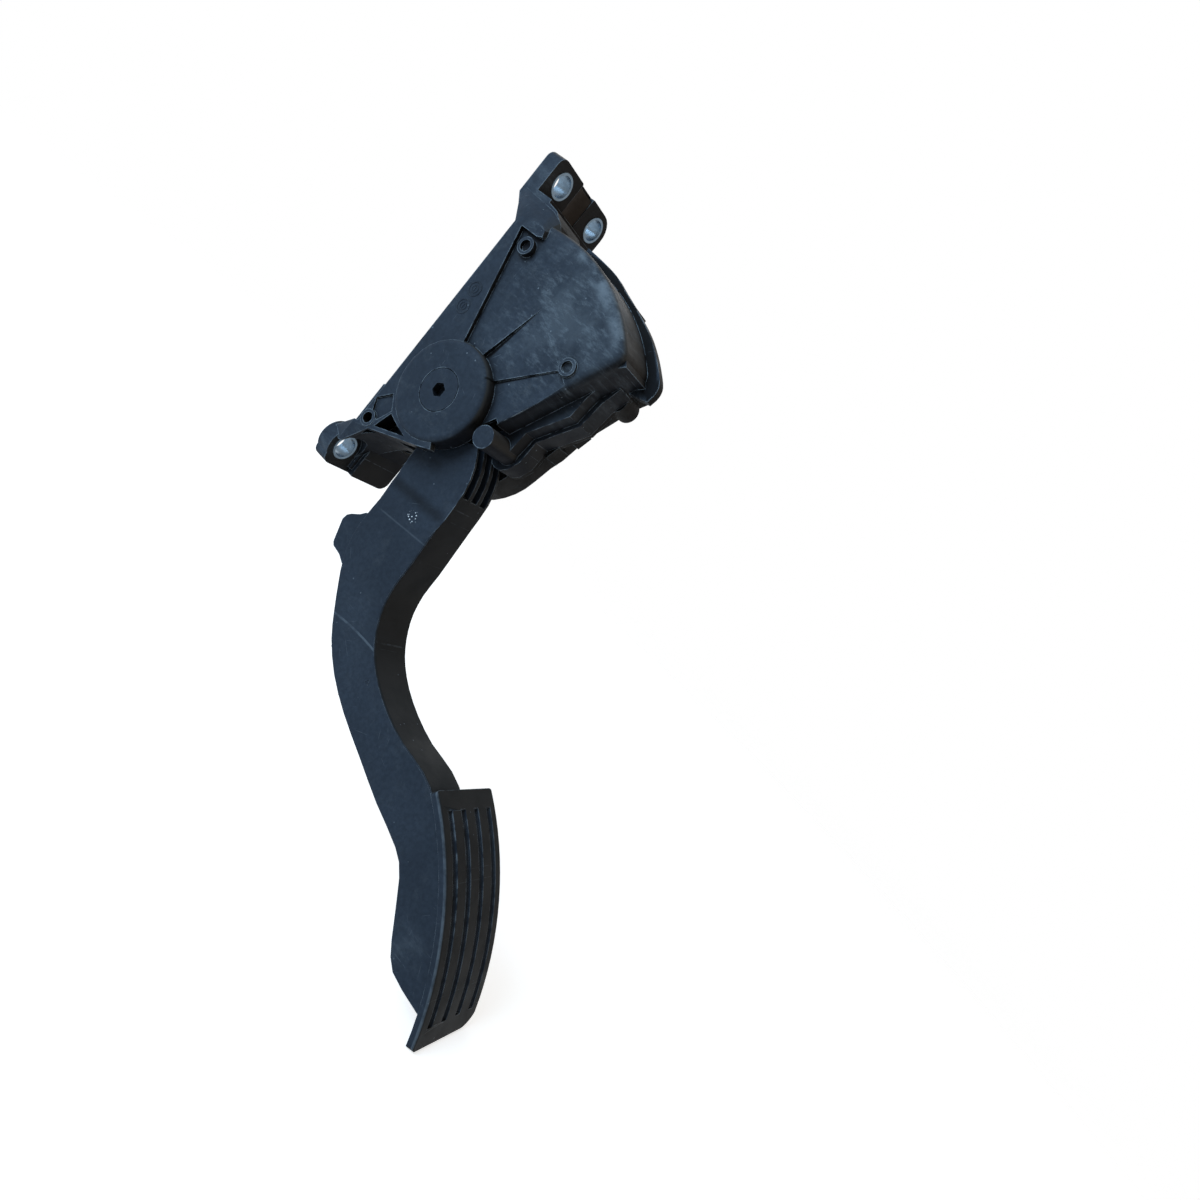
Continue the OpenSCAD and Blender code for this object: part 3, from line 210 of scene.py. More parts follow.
class Shader:
    """A material under construction: makes nodes and links them in one call."""

    def __init__(self, name):
        self.material = bpy.data.materials.new(name)
        self.material.use_nodes = True
        self.tree = self.material.node_tree
        self.tree.nodes.clear()
        self.bsdf = self.node("ShaderNodeBsdfPrincipled")
        self.output = self.node("ShaderNodeOutputMaterial")
        self.link(self.bsdf.outputs["BSDF"], self.output.inputs["Surface"])
        place = self.node("ShaderNodeTexCoord")
        self.coords, self.facing = place.outputs["Object"], place.outputs["Normal"]

    def node(self, kind, **settings):
        made = self.tree.nodes.new(kind)
        for key, value in settings.items():
            setattr(made, key, value)
        return made

    def link(self, source, target):
        self.tree.links.new(source, target)

    def fill(self, target, value):
        """Links a socket to a target, or puts a constant in it."""
        if isinstance(value, bpy.types.NodeSocket):
            self.link(value, target)
        else:
            target.default_value = value

    def set(self, name, value):
        """A constant on the shader's own socket."""
        self.bsdf.inputs[name].default_value = value

    def feed(self, name, source):
        """A pattern on the shader's own socket."""
        self.link(source, self.bsdf.inputs[name])

    def mapped(self, scale, turn=(0, 0, 0)):
        made = self.node("ShaderNodeMapping")
        made.inputs["Scale"].default_value = scale
        made.inputs["Rotation"].default_value = [math.radians(a) for a in turn]
        self.link(self.coords, made.inputs["Vector"])
        return made.outputs["Vector"]

    def noise(self, scale, detail=3.0, roughness=0.55, vector=None):
        made = self.node("ShaderNodeTexNoise")
        made.inputs["Scale"].default_value = scale
        made.inputs["Detail"].default_value = detail
        made.inputs["Roughness"].default_value = roughness
        self.link(vector or self.coords, made.inputs["Vector"])
        return made.outputs["Fac"]

    def cells(self, scale, vector=None):
        made = self.node("ShaderNodeTexVoronoi")
        made.inputs["Scale"].default_value = scale
        self.link(vector or self.coords, made.inputs["Vector"])
        return made.outputs

    def chances(self, cells):
        """Three random values of each cell, called Red, Green and Blue."""
        made = self.node("ShaderNodeSeparateColor")
        self.link(cells["Color"], made.inputs["Color"])
        return made.outputs

    def axes(self, vector):
        """The X, Y and Z of a vector."""
        made = self.node("ShaderNodeSeparateXYZ")
        self.link(vector, made.inputs["Vector"])
        return made.outputs

    def turned(self, vector, angle):
        """The X, Y and Z of a vector that is turned about X."""
        made = self.node("ShaderNodeVectorRotate", rotation_type="X_AXIS")
        self.link(vector, made.inputs["Vector"])
        self.fill(made.inputs["Angle"], angle)
        return self.axes(made.outputs["Vector"])

    def band(self, value, low, high, to_low=0.0, to_high=1.0):
        """Stretches the range low to high of a value over to_low to to_high."""
        made = self.node("ShaderNodeMapRange", interpolation_type="SMOOTHSTEP")
        made.inputs["From Min"].default_value = low
        made.inputs["From Max"].default_value = high
        made.inputs["To Min"].default_value = to_low
        made.inputs["To Max"].default_value = to_high
        self.link(value, made.inputs["Value"])
        return made.outputs["Result"]

    def fall(self, value, low, high):
        """One where a value is below low, fading to zero at high."""
        return self.band(value, low, high, 1.0, 0.0)

    def math(self, operation, a, b=0.0):
        made = self.node("ShaderNodeMath", operation=operation)
        for socket, value in zip(made.inputs, (a, b)):
            self.fill(socket, value)
        return made.outputs["Value"]

    def vector_math(self, operation, a, b):
        made = self.node("ShaderNodeVectorMath", operation=operation)
        for socket, value in zip(made.inputs, (a, b)):
            self.fill(socket, value)
        return made.outputs

    def product(self, first, *others):
        """Multiplies a socket by others, each a number or a socket."""
        for other in others:
            first = self.math("MULTIPLY", first, other)
        return first

    def mix(self, factor, a, b):
        """Mixes two colours, each a tuple or a socket."""
        made = self.node("ShaderNodeMix", data_type="RGBA")
        self.link(factor, made.inputs["Factor"])
        for key, value in (("A", a), ("B", b)):
            socket = [s for s in made.inputs if s.name == key and s.type == "RGBA"][0]
            self.fill(socket, (*value, 1.0) if isinstance(value, tuple) else value)
        return [s for s in made.outputs if s.type == "RGBA"][0]

    def strokes(self, density, length, width, share):
        """Short straight scratches on the side faces, in a share of the cells, each its own way."""
        flat = self.mapped(scale=(0, density, density))
        cells = self.cells(1.0, flat)
        chances = self.chances(cells)
        local = self.vector_math("SUBTRACT", flat, cells["Position"])["Vector"]
        axes = self.turned(local, self.product(chances["Red"], 2 * math.pi))
        line = self.product(self.fall(self.math("ABSOLUTE", axes["Y"]), 0.0, width),
                            self.fall(self.math("ABSOLUTE", axes["Z"]), length * 0.5, length))
        return self.product(line, self.math("GREATER_THAN", chances["Green"], 1.0 - share))

    def specks(self, density, size, share):
        """Tiny round spots in a share of the cells."""
        cells = self.cells(density)
        dot = self.fall(cells["Distance"], size * 0.6, size)
        chance = self.chances(cells)["Blue"]
        return self.product(dot, self.math("GREATER_THAN", chance, 1.0 - share))

    def corners(self, reach):
        """One where the surface is shut in by its neighbours, zero where it lies open."""
        shut = self.node("ShaderNodeAmbientOcclusion", samples=8)
        shut.inputs["Distance"].default_value = reach
        return self.fall(shut.outputs["AO"], 0.45, 0.95)

    def worn_and_lit_edge(self, radius):
        """One along the edges of the solid, zero on its flats."""
        rounded = self.node("ShaderNodeBevel", samples=6)
        rounded.inputs["Radius"].default_value = radius
        true_normal = self.node("ShaderNodeNewGeometry").outputs["Normal"]
        agreement = self.vector_math("DOT_PRODUCT", rounded.outputs["Normal"], true_normal)
        return self.fall(agreement["Value"], 0.86, 0.995)

    def near(self, centre, inner, outer):
        """One within the inner distance of a point, fading to zero at the outer one."""
        away = self.vector_math("DISTANCE", self.coords, centre)
        return self.fall(away["Value"], inner, outer)

    def from_axis(self, point):
        """Distance from the line along X through a point."""
        flat = self.mapped(scale=(0, 1, 1))
        return self.vector_math("DISTANCE", flat, (0, point.y, point.z))["Value"]

    def line_axes(self, start, end):
        """Distance along a line of the side view, distance off it, and the line's length."""
        flat = self.mapped(scale=(0, 1, 1))
        local = self.vector_math("SUBTRACT", flat, (0, *start))["Vector"]
        run, rise = end[0] - start[0], end[1] - start[1]
        axes = self.turned(local, -math.atan2(rise, run))
        return axes["Y"], axes["Z"], math.hypot(run, rise)

    def crease(self, start, end, width):
        """A wedge along a line of the side view, widest at its start. Seen from the left, it lies
        on the line's right-hand side."""
        along, off, length = self.line_axes(start, end)
        half = self.band(along, 0.0, length, width / 2, 0.1 * MM)
        away = self.math("ABSOLUTE", self.math("SUBTRACT", off, half))
        inside = self.fall(self.math("SUBTRACT", away, half), -0.15 * MM, 0.15 * MM)
        ends = self.product(self.band(along, -0.5 * MM, 0.5 * MM),
                            self.fall(along, length - 1 * MM, length))
        return self.product(inside, ends)

    def stripe(self, start, end, half):
        """A soft stripe along a line of the side view, strongest on the line."""
        along, off, length = self.line_axes(start, end)
        inside = self.fall(self.math("ABSOLUTE", off), 0.0, half)
        ends = self.product(self.band(along, -3 * MM, 3 * MM),
                            self.fall(along, length - 3 * MM, length + 3 * MM))
        return self.product(inside, ends)

    def chips(self, centre, reach):
        """Small bright nicks in a group round a point."""
        dots = self.fall(self.cells(980.0)["Distance"], 0.22, 0.34)
        return self.product(dots, self.near(centre, reach * 0.6, reach))

    def bump(self, heights, distance, strength):
        made = self.node("ShaderNodeBump")
        made.inputs["Strength"].default_value = strength
        made.inputs["Distance"].default_value = distance
        self.link(heights, made.inputs["Height"])
        self.feed("Normal", made.outputs["Normal"])


def scaled(colour, factor):
    return tuple(c * factor for c in colour)


def moulded_nylon(name, base, dust, edge_wear_and_highlight, scratch, roughness=0.5, corner_shade=0.6, facing_away_tone=None, scuffs=(),
                  chips=None, marks=()):
    """Glass-filled nylon: spark-eroded grain, dust in patches, fine scratches, pale worn edges that are partly
    painted highlight, and painted shade in corners.
    Each of the marks is a function that adds one local mark to the colour."""
    s = Shader(name)
    clouds = s.band(s.noise(26.0, detail=6.0, roughness=0.65), 0.35, 0.7)
    colour = s.mix(clouds, base, scaled(base, 1.35))
    mottle = s.band(s.noise(520.0, detail=5.0, roughness=0.7), 0.32, 0.7)
    colour = s.mix(s.product(mottle, 0.5), colour, scaled(base, 0.62))
    dusty = s.band(s.noise(95.0, detail=9.0, roughness=0.78), 0.50, 0.80, 0.0, dust)
    colour = s.mix(dusty, colour, DUST)
    # Painted light and shade by facing
    if facing_away_tone:
        colour = painted_by_facing(s, colour, facing_away_tone)
    for patch in scuffs:
        colour = scuffed_patch(s, colour, *patch)
    for mark in marks:
        colour = mark(s, colour)
    colour = scratched(s, colour, scratch)
    # Painted shade in corners, where the surface is shut in by its neighbours
    colour = s.mix(s.product(s.corners(CORNER_REACH), corner_shade), colour, PAINTED_SHADE)
    # Pale worn edges, partly painted highlight
    patchy = s.band(s.noise(240.0, detail=4.0), 0.34, 0.58)
    colour = s.mix(s.product(patchy, edge_wear_and_highlight, s.worn_and_lit_edge(WORN_AND_LIT_EDGE_WIDTH)), colour, PALE_WEAR_AND_HIGHLIGHT)
    if chips:
        colour = s.mix(s.chips(chips, CHIPS_REACH), colour, BRIGHT_NICK)
    s.feed("Base Color", colour)
    s.feed("Roughness", s.band(s.noise(90.0, detail=5.0), 0.3, 0.7,
                               roughness - 0.08, roughness + 0.12))
    s.set("Specular IOR Level", NYLON_SPECULAR)
    grain = s.noise(2600.0, detail=2.0)
    dents = s.noise(120.0, detail=3.0)
    s.bump(s.math("ADD", s.product(grain, 0.35), dents), 0.09 * MM, 0.8)
    return s.material


def scratched(s, colour, amount):
    """Fine broken scratches, long and short, and a few specks."""
    lines = s.math("MAXIMUM", s.strokes(70.0, 0.48, 0.012, 0.4),
                   s.strokes(190.0, 0.40, 0.026, 0.35))
    broken = s.product(s.band(s.noise(330.0, detail=3.0), 0.38, 0.62),
                       s.band(s.noise(31.0, detail=2.0), 0.44, 0.60, 0.15, 1.0))
    colour = s.mix(s.product(lines, broken, amount * 0.7), colour, PALE_WEAR_AND_HIGHLIGHT)
    return s.mix(s.product(s.specks(640.0, 0.26, 0.016), amount), colour, PALE_WEAR_AND_HIGHLIGHT)


def painted_by_facing(s, colour, facing_away_tone):
    """Painted light and shade by facing: a neutral tone on the faces that don't look left, darker where they look
    down.
    """
    facing = s.axes(s.facing)
    away = s.band(facing["X"], -0.80, -0.45, 0.0, 0.9)
    upward = s.band(facing["Z"], -0.25, 0.25)
    return s.mix(away, colour, s.mix(upward, DOWNWARD_PAINTED_SHADE, facing_away_tone))


def scuffed_patch(s, colour, middle, inner, outer, strength):
    """Pale smears and haze round the middle of a handled area."""
    stretched = s.mapped(scale=(60, 150, 420), turn=(35, 0, 0))
    smears = s.noise(1.0, detail=9.0, roughness=0.72, vector=stretched)
    haze = s.noise(42.0, detail=5.0, roughness=0.6)
    worn = s.math("ADD", s.band(smears, 0.46, 0.78, 0.0, 0.40),
                  s.band(haze, 0.42, 0.70, 0.0, 0.16))
    return s.mix(s.product(worn, strength, s.near(middle, inner, outer)), colour, PALE_WEAR_AND_HIGHLIGHT)


def neck_painted_shade_and_highlight(s, colour):
    """The shallow slope under the hub, on the arm's left face: painted shade in its upper bend and a
    painted highlight on its lower one."""
    on_face = s.fall(s.axes(s.coords)["X"], ARM_FACE_X + 1.4 * MM, ARM_FACE_X + 2.2 * MM)
    upper = s.product(s.stripe(*NECK_UPPER), 0.55)
    lower = s.product(s.stripe(*NECK_LOWER), 0.16)
    colour = s.mix(s.product(upper, on_face), colour, PAINTED_SHADE)
    return s.mix(s.product(lower, on_face), colour, PALE_WEAR_AND_HIGHLIGHT)


def pad_edge_wear_and_highlight(s, colour):
    """A pale line along the pad's rounded left edge: worn nylon, and a painted highlight on the rounding."""
    radius = s.from_axis(PAD_CENTRE)
    line = s.product(s.band(radius, PAD_R - 1.3 * MM, PAD_R - 0.8 * MM),
                     s.fall(radius, PAD_R - 0.35 * MM, PAD_R - 0.05 * MM))
    at_left = s.fall(s.axes(s.coords)["X"], PAD_LEFT + 0.7 * MM, PAD_LEFT + 1.1 * MM)
    broken = s.band(s.noise(140.0, detail=5.0, roughness=0.65), 0.35, 0.62, 0.10, 0.40)
    return s.mix(s.product(line, at_left, broken), colour, PALE_WEAR_AND_HIGHLIGHT)


def fan_edge_wear_light_and_shade(s, colour):
    """Patchy pale worn marks and a painted highlight inside the fan's rounded edge, painted shade on the
    rim behind its wall and round its corner, and painted shadow at the feet of its two steps."""
    radius = s.from_axis(PIVOT)
    place = s.axes(s.coords)
    on_face = s.product(s.fall(place["X"], FAN_FACE_X + 1.5 * MM, FAN_FACE_X + 3.5 * MM),
                        s.fall(place["Y"], -48 * MM, -38 * MM))
    # Pale ring inside the rounded edge: worn nylon and painted highlight
    ring = s.product(s.band(radius, FAN_R - 7 * MM, FAN_R - 2 * MM),
                     s.fall(radius, FAN_R - 0.8 * MM, FAN_R))
    patches = s.band(s.noise(85.0, detail=7.0, roughness=0.7), 0.40, 0.66, 0.05, 0.65)
    colour = s.mix(s.product(ring, on_face, patches), colour, PALE_WEAR_AND_HIGHLIGHT)
    # Painted shade on the rim behind the wall and round its corner
    behind = s.band(place["X"], RIM_FACE_X - 2.5 * MM, RIM_FACE_X - 0.5 * MM)
    shelf = s.product(s.band(radius, FAN_R - 1.0 * MM, FAN_R),
                      s.fall(radius, FAN_R + 3.3 * MM, FAN_R + 4.0 * MM))
    shelf = s.math("MAXIMUM", shelf, s.near(RIM_CORNER, 3.0 * MM, 5.5 * MM))
    colour = s.mix(s.product(behind, shelf, 0.85), colour, PAINTED_SHADE)
    # Painted shadow at the feet of the two steps
    for start, end in STEP_LINES:
        colour = s.mix(s.product(s.crease(start, end, STEP_SHADOW_WIDTH), 0.8), colour, PAINTED_SHADE)
    return colour


def plated_steel(name, colour, roughness):
    """Zinc-plated or drawn steel with turning marks and a dull bloom."""
    s = Shader(name)
    bloom = s.band(s.noise(260.0, detail=6.0, roughness=0.65), 0.35, 0.7)
    s.feed("Base Color", s.mix(bloom, colour, scaled(colour, 0.75)))
    s.set("Metallic", 1.0)
    s.feed("Roughness", s.band(s.noise(400.0, detail=3.0), 0.3, 0.7,
                               roughness - 0.07, roughness + 0.1))
    turning = s.noise(1.0, detail=2.0, vector=s.mapped(scale=(300, 5200, 300)))
    s.bump(turning, 0.02 * MM, 0.6)
    return s.material


def plain_plastic(name, base, roughness, speckle=0.12):
    """Smooth moulded part with slight colour drift and fine grain."""
    s = Shader(name)
    drift = s.band(s.noise(90.0, detail=6.0), 0.3, 0.72)
    s.feed("Base Color", s.mix(drift, base, scaled(base, 1.0 - speckle)))
    s.feed("Roughness", s.band(s.noise(300.0), 0.3, 0.7, roughness - 0.06, roughness + 0.08))
    s.set("Specular IOR Level", 0.4)
    s.bump(s.noise(1800.0, detail=2.0), 0.03 * MM, 0.5)
    return s.material


def rubber(name):
    """Matt black rubber with a grey bloom."""
    s = Shader(name)
    bloom = s.band(s.noise(150.0, detail=7.0), 0.4, 0.75)
    s.feed("Base Color", s.mix(bloom, RUBBER_BLACK, RUBBER_BLOOM))
    s.set("Roughness", 0.82)
    s.set("Specular IOR Level", 0.3)
    s.bump(s.noise(1400.0, detail=4.0), 0.05 * MM, 0.7)
    return s.material


def laminate(name):
    """Green solder mask over faint copper tracks that run along the board."""
    s = Shader(name)
    tracks = s.noise(1.0, detail=0.0, vector=s.mapped(scale=(40, 900, 120)))
    copper = s.fall(s.math("ABSOLUTE", s.math("SUBTRACT", tracks, 0.5)), 0.02, 0.05)
    s.feed("Base Color", s.mix(copper, SOLDER_MASK, COPPER_TRACK))
    s.set("Roughness", 0.32)
    s.bump(copper, 0.03 * MM, 0.6)
    return s.material


# One finish for each slot. The pin's slot says steel, but its head looks like the hub's nylon.
FINISHES = {
    "housing_plastic": moulded_nylon("housing_nylon", NYLON_BLUE_BLACK, dust=0.65, edge_wear_and_highlight=1.0,
                                     scratch=0.6, corner_shade=0.78, facing_away_tone=HOUSING_AWAY_PAINTED_LIGHT,
                                     scuffs=HOUSING_SCUFFS, marks=(fan_edge_wear_light_and_shade,)),
    "arm_plastic": moulded_nylon("arm_nylon", NYLON_ARM, dust=0.3, edge_wear_and_highlight=0.8, scratch=0.32,
                                 roughness=0.46, corner_shade=0.25, facing_away_tone=ARM_AWAY_PAINTED_SHADE, scuffs=ARM_SCUFFS,
                                 chips=CHIPPED_RIDGE, marks=(neck_painted_shade_and_highlight, pad_edge_wear_and_highlight)),
    "cover_plastic": moulded_nylon("cover_nylon", NYLON_COVER, dust=0.4, edge_wear_and_highlight=0.5, scratch=0.3,
                                   roughness=0.58),
    "sleeve_steel": plated_steel("zinc_sleeve", ZINC, 0.3),
    "pin_steel": moulded_nylon("pin_nylon", NYLON_BLUE_BLACK, dust=0.5, edge_wear_and_highlight=0.1, scratch=0.3),
    "bearing_plastic": plain_plastic("bearing_acetal", BEARING_ACETAL, 0.35),
    "seat_plastic": plain_plastic("seat_acetal", SEAT_ACETAL, 0.42),
    "spring_steel": plated_steel("spring_wire", SPRING_STEEL, 0.33),
    "shoe_plastic": plain_plastic("shoe_lining", SHOE_LINING, 0.6, speckle=0.3),
    "rubber": rubber("buffer_rubber"),
    "screw_steel": plated_steel("screw_zinc", SCREW_ZINC, 0.36),
    "board_laminate": laminate("board_laminate"),
    "chip_black": plain_plastic("chip_epoxy", CHIP_EPOXY, 0.45),
    "capacitor_ceramic": plain_plastic("capacitor_body", CAPACITOR_BROWN, 0.4),
    "contact_tin": plated_steel("contact_tin", CONTACT_TIN, 0.24),
    "magnet_ferrite": plain_plastic("magnet_ferrite", MAGNET_FERRITE, 0.5),
}
RAISED_NYLON = moulded_nylon("mould_mark_nylon", scaled(NYLON_BLUE_BLACK, 0.8), dust=0.3,
                             edge_wear_and_highlight=0.15, scratch=0.1, corner_shade=0.9)
# The lug hollow's nylon, lighter and browner: painted light
LIT_HOLLOW_NYLON = moulded_nylon("lug_hollow_lit_nylon", LUG_HOLLOW_LIT_TONE, dust=0.4, edge_wear_and_highlight=0.15, scratch=0.2,
                             corner_shade=0.25)


def dress_nodes():
    """Gives each CAD node its slot's finish and even shading, and the large mouldings softened
    edges. Edges and shading come from modifiers, so the meshes stay as they were loaded."""
    shading = smooth_by_angle(SMOOTH_BELOW)
    for subpart in frame["record"]["subparts"]:
        node = frame["nodes"][subpart["node"]]
        slot = subpart["material_slot"]
        node.data.materials.clear()
        node.data.materials.append(FINISHES[slot])
        weld = node.modifiers.new("weld", "WELD")
        weld.merge_threshold = WELD_DISTANCE
        if slot in SOFTENED_SLOTS:
            soften_edges(node)
        smooth_rounds(node, shading)


def soften_edges(piece):
    bevel = piece.modifiers.new("soft_edges", "BEVEL")
    bevel.width = EDGE_SOFTENING
    bevel.segments = 2
    bevel.limit_method = "ANGLE"
    bevel.angle_limit = SOFTENED_ABOVE
    bevel.use_clamp_overlap = True
    bevel.harden_normals = False


def smooth_rounds(piece, shading):
    """Shades curved faces smooth and keeps the real edges sharp."""
    shade = piece.modifiers.new("smooth_rounds", "NODES")
    shade.node_group = shading
    weighted = piece.modifiers.new("even_flats", "WEIGHTED_NORMAL")
    weighted.keep_sharp = True
    weighted.weight = LARGE_FACE_WEIGHT


def smooth_by_angle(limit):
    """Nodes for a modifier that marks faces smooth and the edges above an angle sharp."""
    group = bpy.data.node_groups.new("smooth_by_angle", "GeometryNodeTree")
    for side in ("INPUT", "OUTPUT"):
        group.interface.new_socket("Geometry", in_out=side, socket_type="NodeSocketGeometry")
    start, end = group.nodes.new("NodeGroupInput"), group.nodes.new("NodeGroupOutput")
    faces = group.nodes.new("GeometryNodeSetShadeSmooth")
    edges = group.nodes.new("GeometryNodeSetShadeSmooth")
    faces.domain, edges.domain = "FACE", "EDGE"
    angle = group.nodes.new("GeometryNodeInputMeshEdgeAngle")
    shallow = group.nodes.new("FunctionNodeCompare")
    shallow.data_type, shallow.operation = "FLOAT", "LESS_THAN"
    shallow.inputs[1].default_value = limit
    group.links.new(start.outputs[0], faces.inputs["Geometry"])
    group.links.new(faces.outputs["Geometry"], edges.inputs["Geometry"])
    group.links.new(angle.outputs["Unsigned Angle"], shallow.inputs[0])
    group.links.new(shallow.outputs[0], edges.inputs["Shade Smooth"])
    group.links.new(edges.outputs["Geometry"], end.inputs[0])
    return group


def linked_object(name, data):
    made = bpy.data.objects.new(name, data)
    bpy.context.scene.collection.objects.link(made)
    return made


def new_piece(name, fill_mesh, body, material):
    """An object with the mesh that fill_mesh makes. It rides on a body, if one is named."""
    mesh = bmesh.new()
    fill_mesh(mesh)
    bmesh.ops.recalc_face_normals(mesh, faces=mesh.faces)
    data = bpy.data.meshes.new(name)
    mesh.to_mesh(data)
    mesh.free()
    piece = linked_object(name, data)
    data.materials.append(material)
    if body:
        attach(piece, body)
    return piece


def side_point(x, y, z):
    """A point given as X across in metres and Y, Z in millimetres of the side view."""
    return Vector((x, y * MM, z * MM))


def turn_angles(steps):
    return [2 * math.pi * i / steps for i in range(steps)]


def join_rings(mesh, rings, closed=False):
    """Faces between neighbouring rings of vertices. A closed row of rings has no ends, an open
    one gets a cap on each."""
    following = rings[1:] + rings[:1] if closed else rings[1:]
    for here, after in zip(rings, following):
        for k in range(len(here)):
            j = (k + 1) % len(here)
            mesh.faces.new((here[k], here[j], after[j], after[k]))
    if not closed:
        mesh.faces.new(list(reversed(rings[0])))
        mesh.faces.new(rings[-1])


def add_lathe(mesh, centre, profile, steps=48):
    """A turned band about an axis along X through centre; profile is (radius, x) pairs, closed."""
    rings = [[mesh.verts.new((x, centre.y + r * math.cos(a), centre.z + r * math.sin(a)))
              for r, x in profile] for a in turn_angles(steps)]
    join_rings(mesh, rings, closed=True)


def ring_profile(radius, width, x, stand):
    """A low rounded ring that stands out of the face at x."""
    inner, outer = radius - width / 2, radius + width / 2
    foot = x + MARK_FOOT
    return [(inner, foot), (inner, x - stand * 0.7), (inner + width * 0.25, x - stand),
            (outer - width * 0.25, x - stand), (outer, x - stand * 0.7), (outer, foot)]


def add_bar(mesh, start, end, width, x, stand):
    """A low rounded bar with smaller ends, along a line on the face at x."""
    along = (end - start).normalized()
    side = Vector((0, -along.z, along.y))
    rings = []
    for share, size in BAR_SIZES:
        place = start.lerp(end, share)
        ring = []
        for w, h in BAR_SECTION:
            level = x - stand * h * size if h else x + MARK_FOOT
            point = Vector((level, place.y, place.z)) + side * (w * width * size)
            ring.append(mesh.verts.new(point))
        rings.append(ring)
    join_rings(mesh, rings)


def add_date_ring(mesh, centre):
    """A thin ring round a smaller one with an upright bar in it."""
    for radius, width in ((DATE_RING_R, DATE_RING_WIDTH), (DATE_INNER_R, DATE_INNER_WIDTH)):
        add_lathe(mesh, centre, ring_profile(radius, width, STRIP_FACE_X, DATE_RING_RELIEF))
    reach = Vector((0, 0, DATE_BAR_REACH))
    add_bar(mesh, centre - reach, centre + reach, DATE_BAR_WIDTH, STRIP_FACE_X, DATE_RING_RELIEF)


def build_date_rings():
    """Two bare date wheels on the flat strip."""
    for k, (y, z) in enumerate(DATE_RINGS_AT):
        new_piece(f"date_ring_{k}", lambda mesh: add_date_ring(mesh, side_point(0, y, z)),
                  "base", RAISED_NYLON)


def build_mould_mark():
    """A small raised triangle on the arm's left face."""
    points = [side_point(ARM_FACE_X, y, z) for y, z in MOULD_MARK_CORNERS]

    def fill_mesh(mesh):
        for a, b in zip(points, points[1:] + points[:1]):
            add_bar(mesh, a, b, MOULD_MARK_WIDTH, ARM_FACE_X, MOULD_MARK_RELIEF)

    new_piece("mould_mark", fill_mesh, "pedal", FINISHES["arm_plastic"])


def add_dish(mesh, centre, radius, hollow, steps=32):
    """A disc that faces -X, deepest in its middle, with a flat back."""
    rings = []
    for share, sink in DISH_PROFILE:
        rings.append([mesh.verts.new(centre + Vector((sink * hollow,
                                                      share * radius * math.cos(a),
                                                      share * radius * math.sin(a))))
                      for a in turn_angles(steps)])
    back = [mesh.verts.new(v.co + Vector((2 * hollow, 0, 0))) for v in rings[0]]
    join_rings(mesh, [back] + rings)


def build_boss_floors():
    """Dished bottoms of the two blind bosses on the fan."""
    for k, (y, z, x) in enumerate(BOSS_FLOORS_AT):
        centre = side_point(x, y, z)
        new_piece(f"boss_floor_{k}",
                  lambda mesh: add_dish(mesh, centre, BOSS_FLOOR_R, BOSS_FLOOR_HOLLOW),
                  "base", FINISHES["housing_plastic"])


def add_valley(mesh):
    """A block whose front is hollow from side to side."""
    (left, right), (low, high) = VALLEY_X, VALLEY_Z
    front, back = [], []
    for i in range(VALLEY_COLUMNS + 1):
        t = i / VALLEY_COLUMNS
        depth = (VALLEY_FRONT - VALLEY_HOLLOW * math.sin(math.pi * t) ** 1.5) * MM
        x = left + (right - left) * t
        heights = [low + (high - low) * r / VALLEY_ROWS for r in range(VALLEY_ROWS + 1)]
        front.append([mesh.verts.new((x, -depth, z)) for z in heights])
        back.append([mesh.verts.new((x, -VALLEY_BACK * MM, z)) for z in heights])
    for i in range(VALLEY_COLUMNS):
        for r in range(VALLEY_ROWS):
            mesh.faces.new((front[i][r], front[i + 1][r], front[i + 1][r + 1], front[i][r + 1]))
            mesh.faces.new((back[i][r + 1], back[i + 1][r + 1], back[i + 1][r], back[i][r]))
        for r in (0, VALLEY_ROWS):
            mesh.faces.new((front[i][r], back[i][r], back[i + 1][r], front[i + 1][r]))
    for i in (0, VALLEY_COLUMNS):
        for r in range(VALLEY_ROWS):
            mesh.faces.new((front[i][r], front[i][r + 1], back[i][r + 1], back[i][r]))


def build_lug_valley():
    """The smooth hollow between the two upper lugs, which covers the steps of the web."""
    new_piece("lug_valley", add_valley, "base", LIT_HOLLOW_NYLON)


def add_pad_land(mesh, steps=20):
    """A curved strip with rounded edges whose sides go down into the grooves."""
    left, right = LAND_X
    inset, round_off, depth = 0.03 * MM, 0.3 * MM, 0.9 * MM
    half_section = ((-depth * 0.3, -depth), (inset, -round_off),
                    (round_off * 0.4, -round_off * 0.3), (round_off, 0.0))
    profile = [(left + x, r) for x, r in half_section]
    profile += [(right - x, r) for x, r in reversed(half_section)]
    rings = []
    for i in range(steps + 1):
        a = math.radians(LAND_ANGLES[0] + (LAND_ANGLES[1] - LAND_ANGLES[0]) * i / steps)
        out = Vector((0, math.cos(a), math.sin(a)))
        rings.append([mesh.verts.new(PAD_CENTRE + Vector((x, 0, 0)) + out * (PAD_R + r))
                      for x, r in profile])
    join_rings(mesh, rings)


def build_pad_land():
    """The land between the pad's first two grooves, where the loaded mesh is folded inwards."""
    new_piece("pad_land", add_pad_land, "pedal", FINISHES["arm_plastic"])


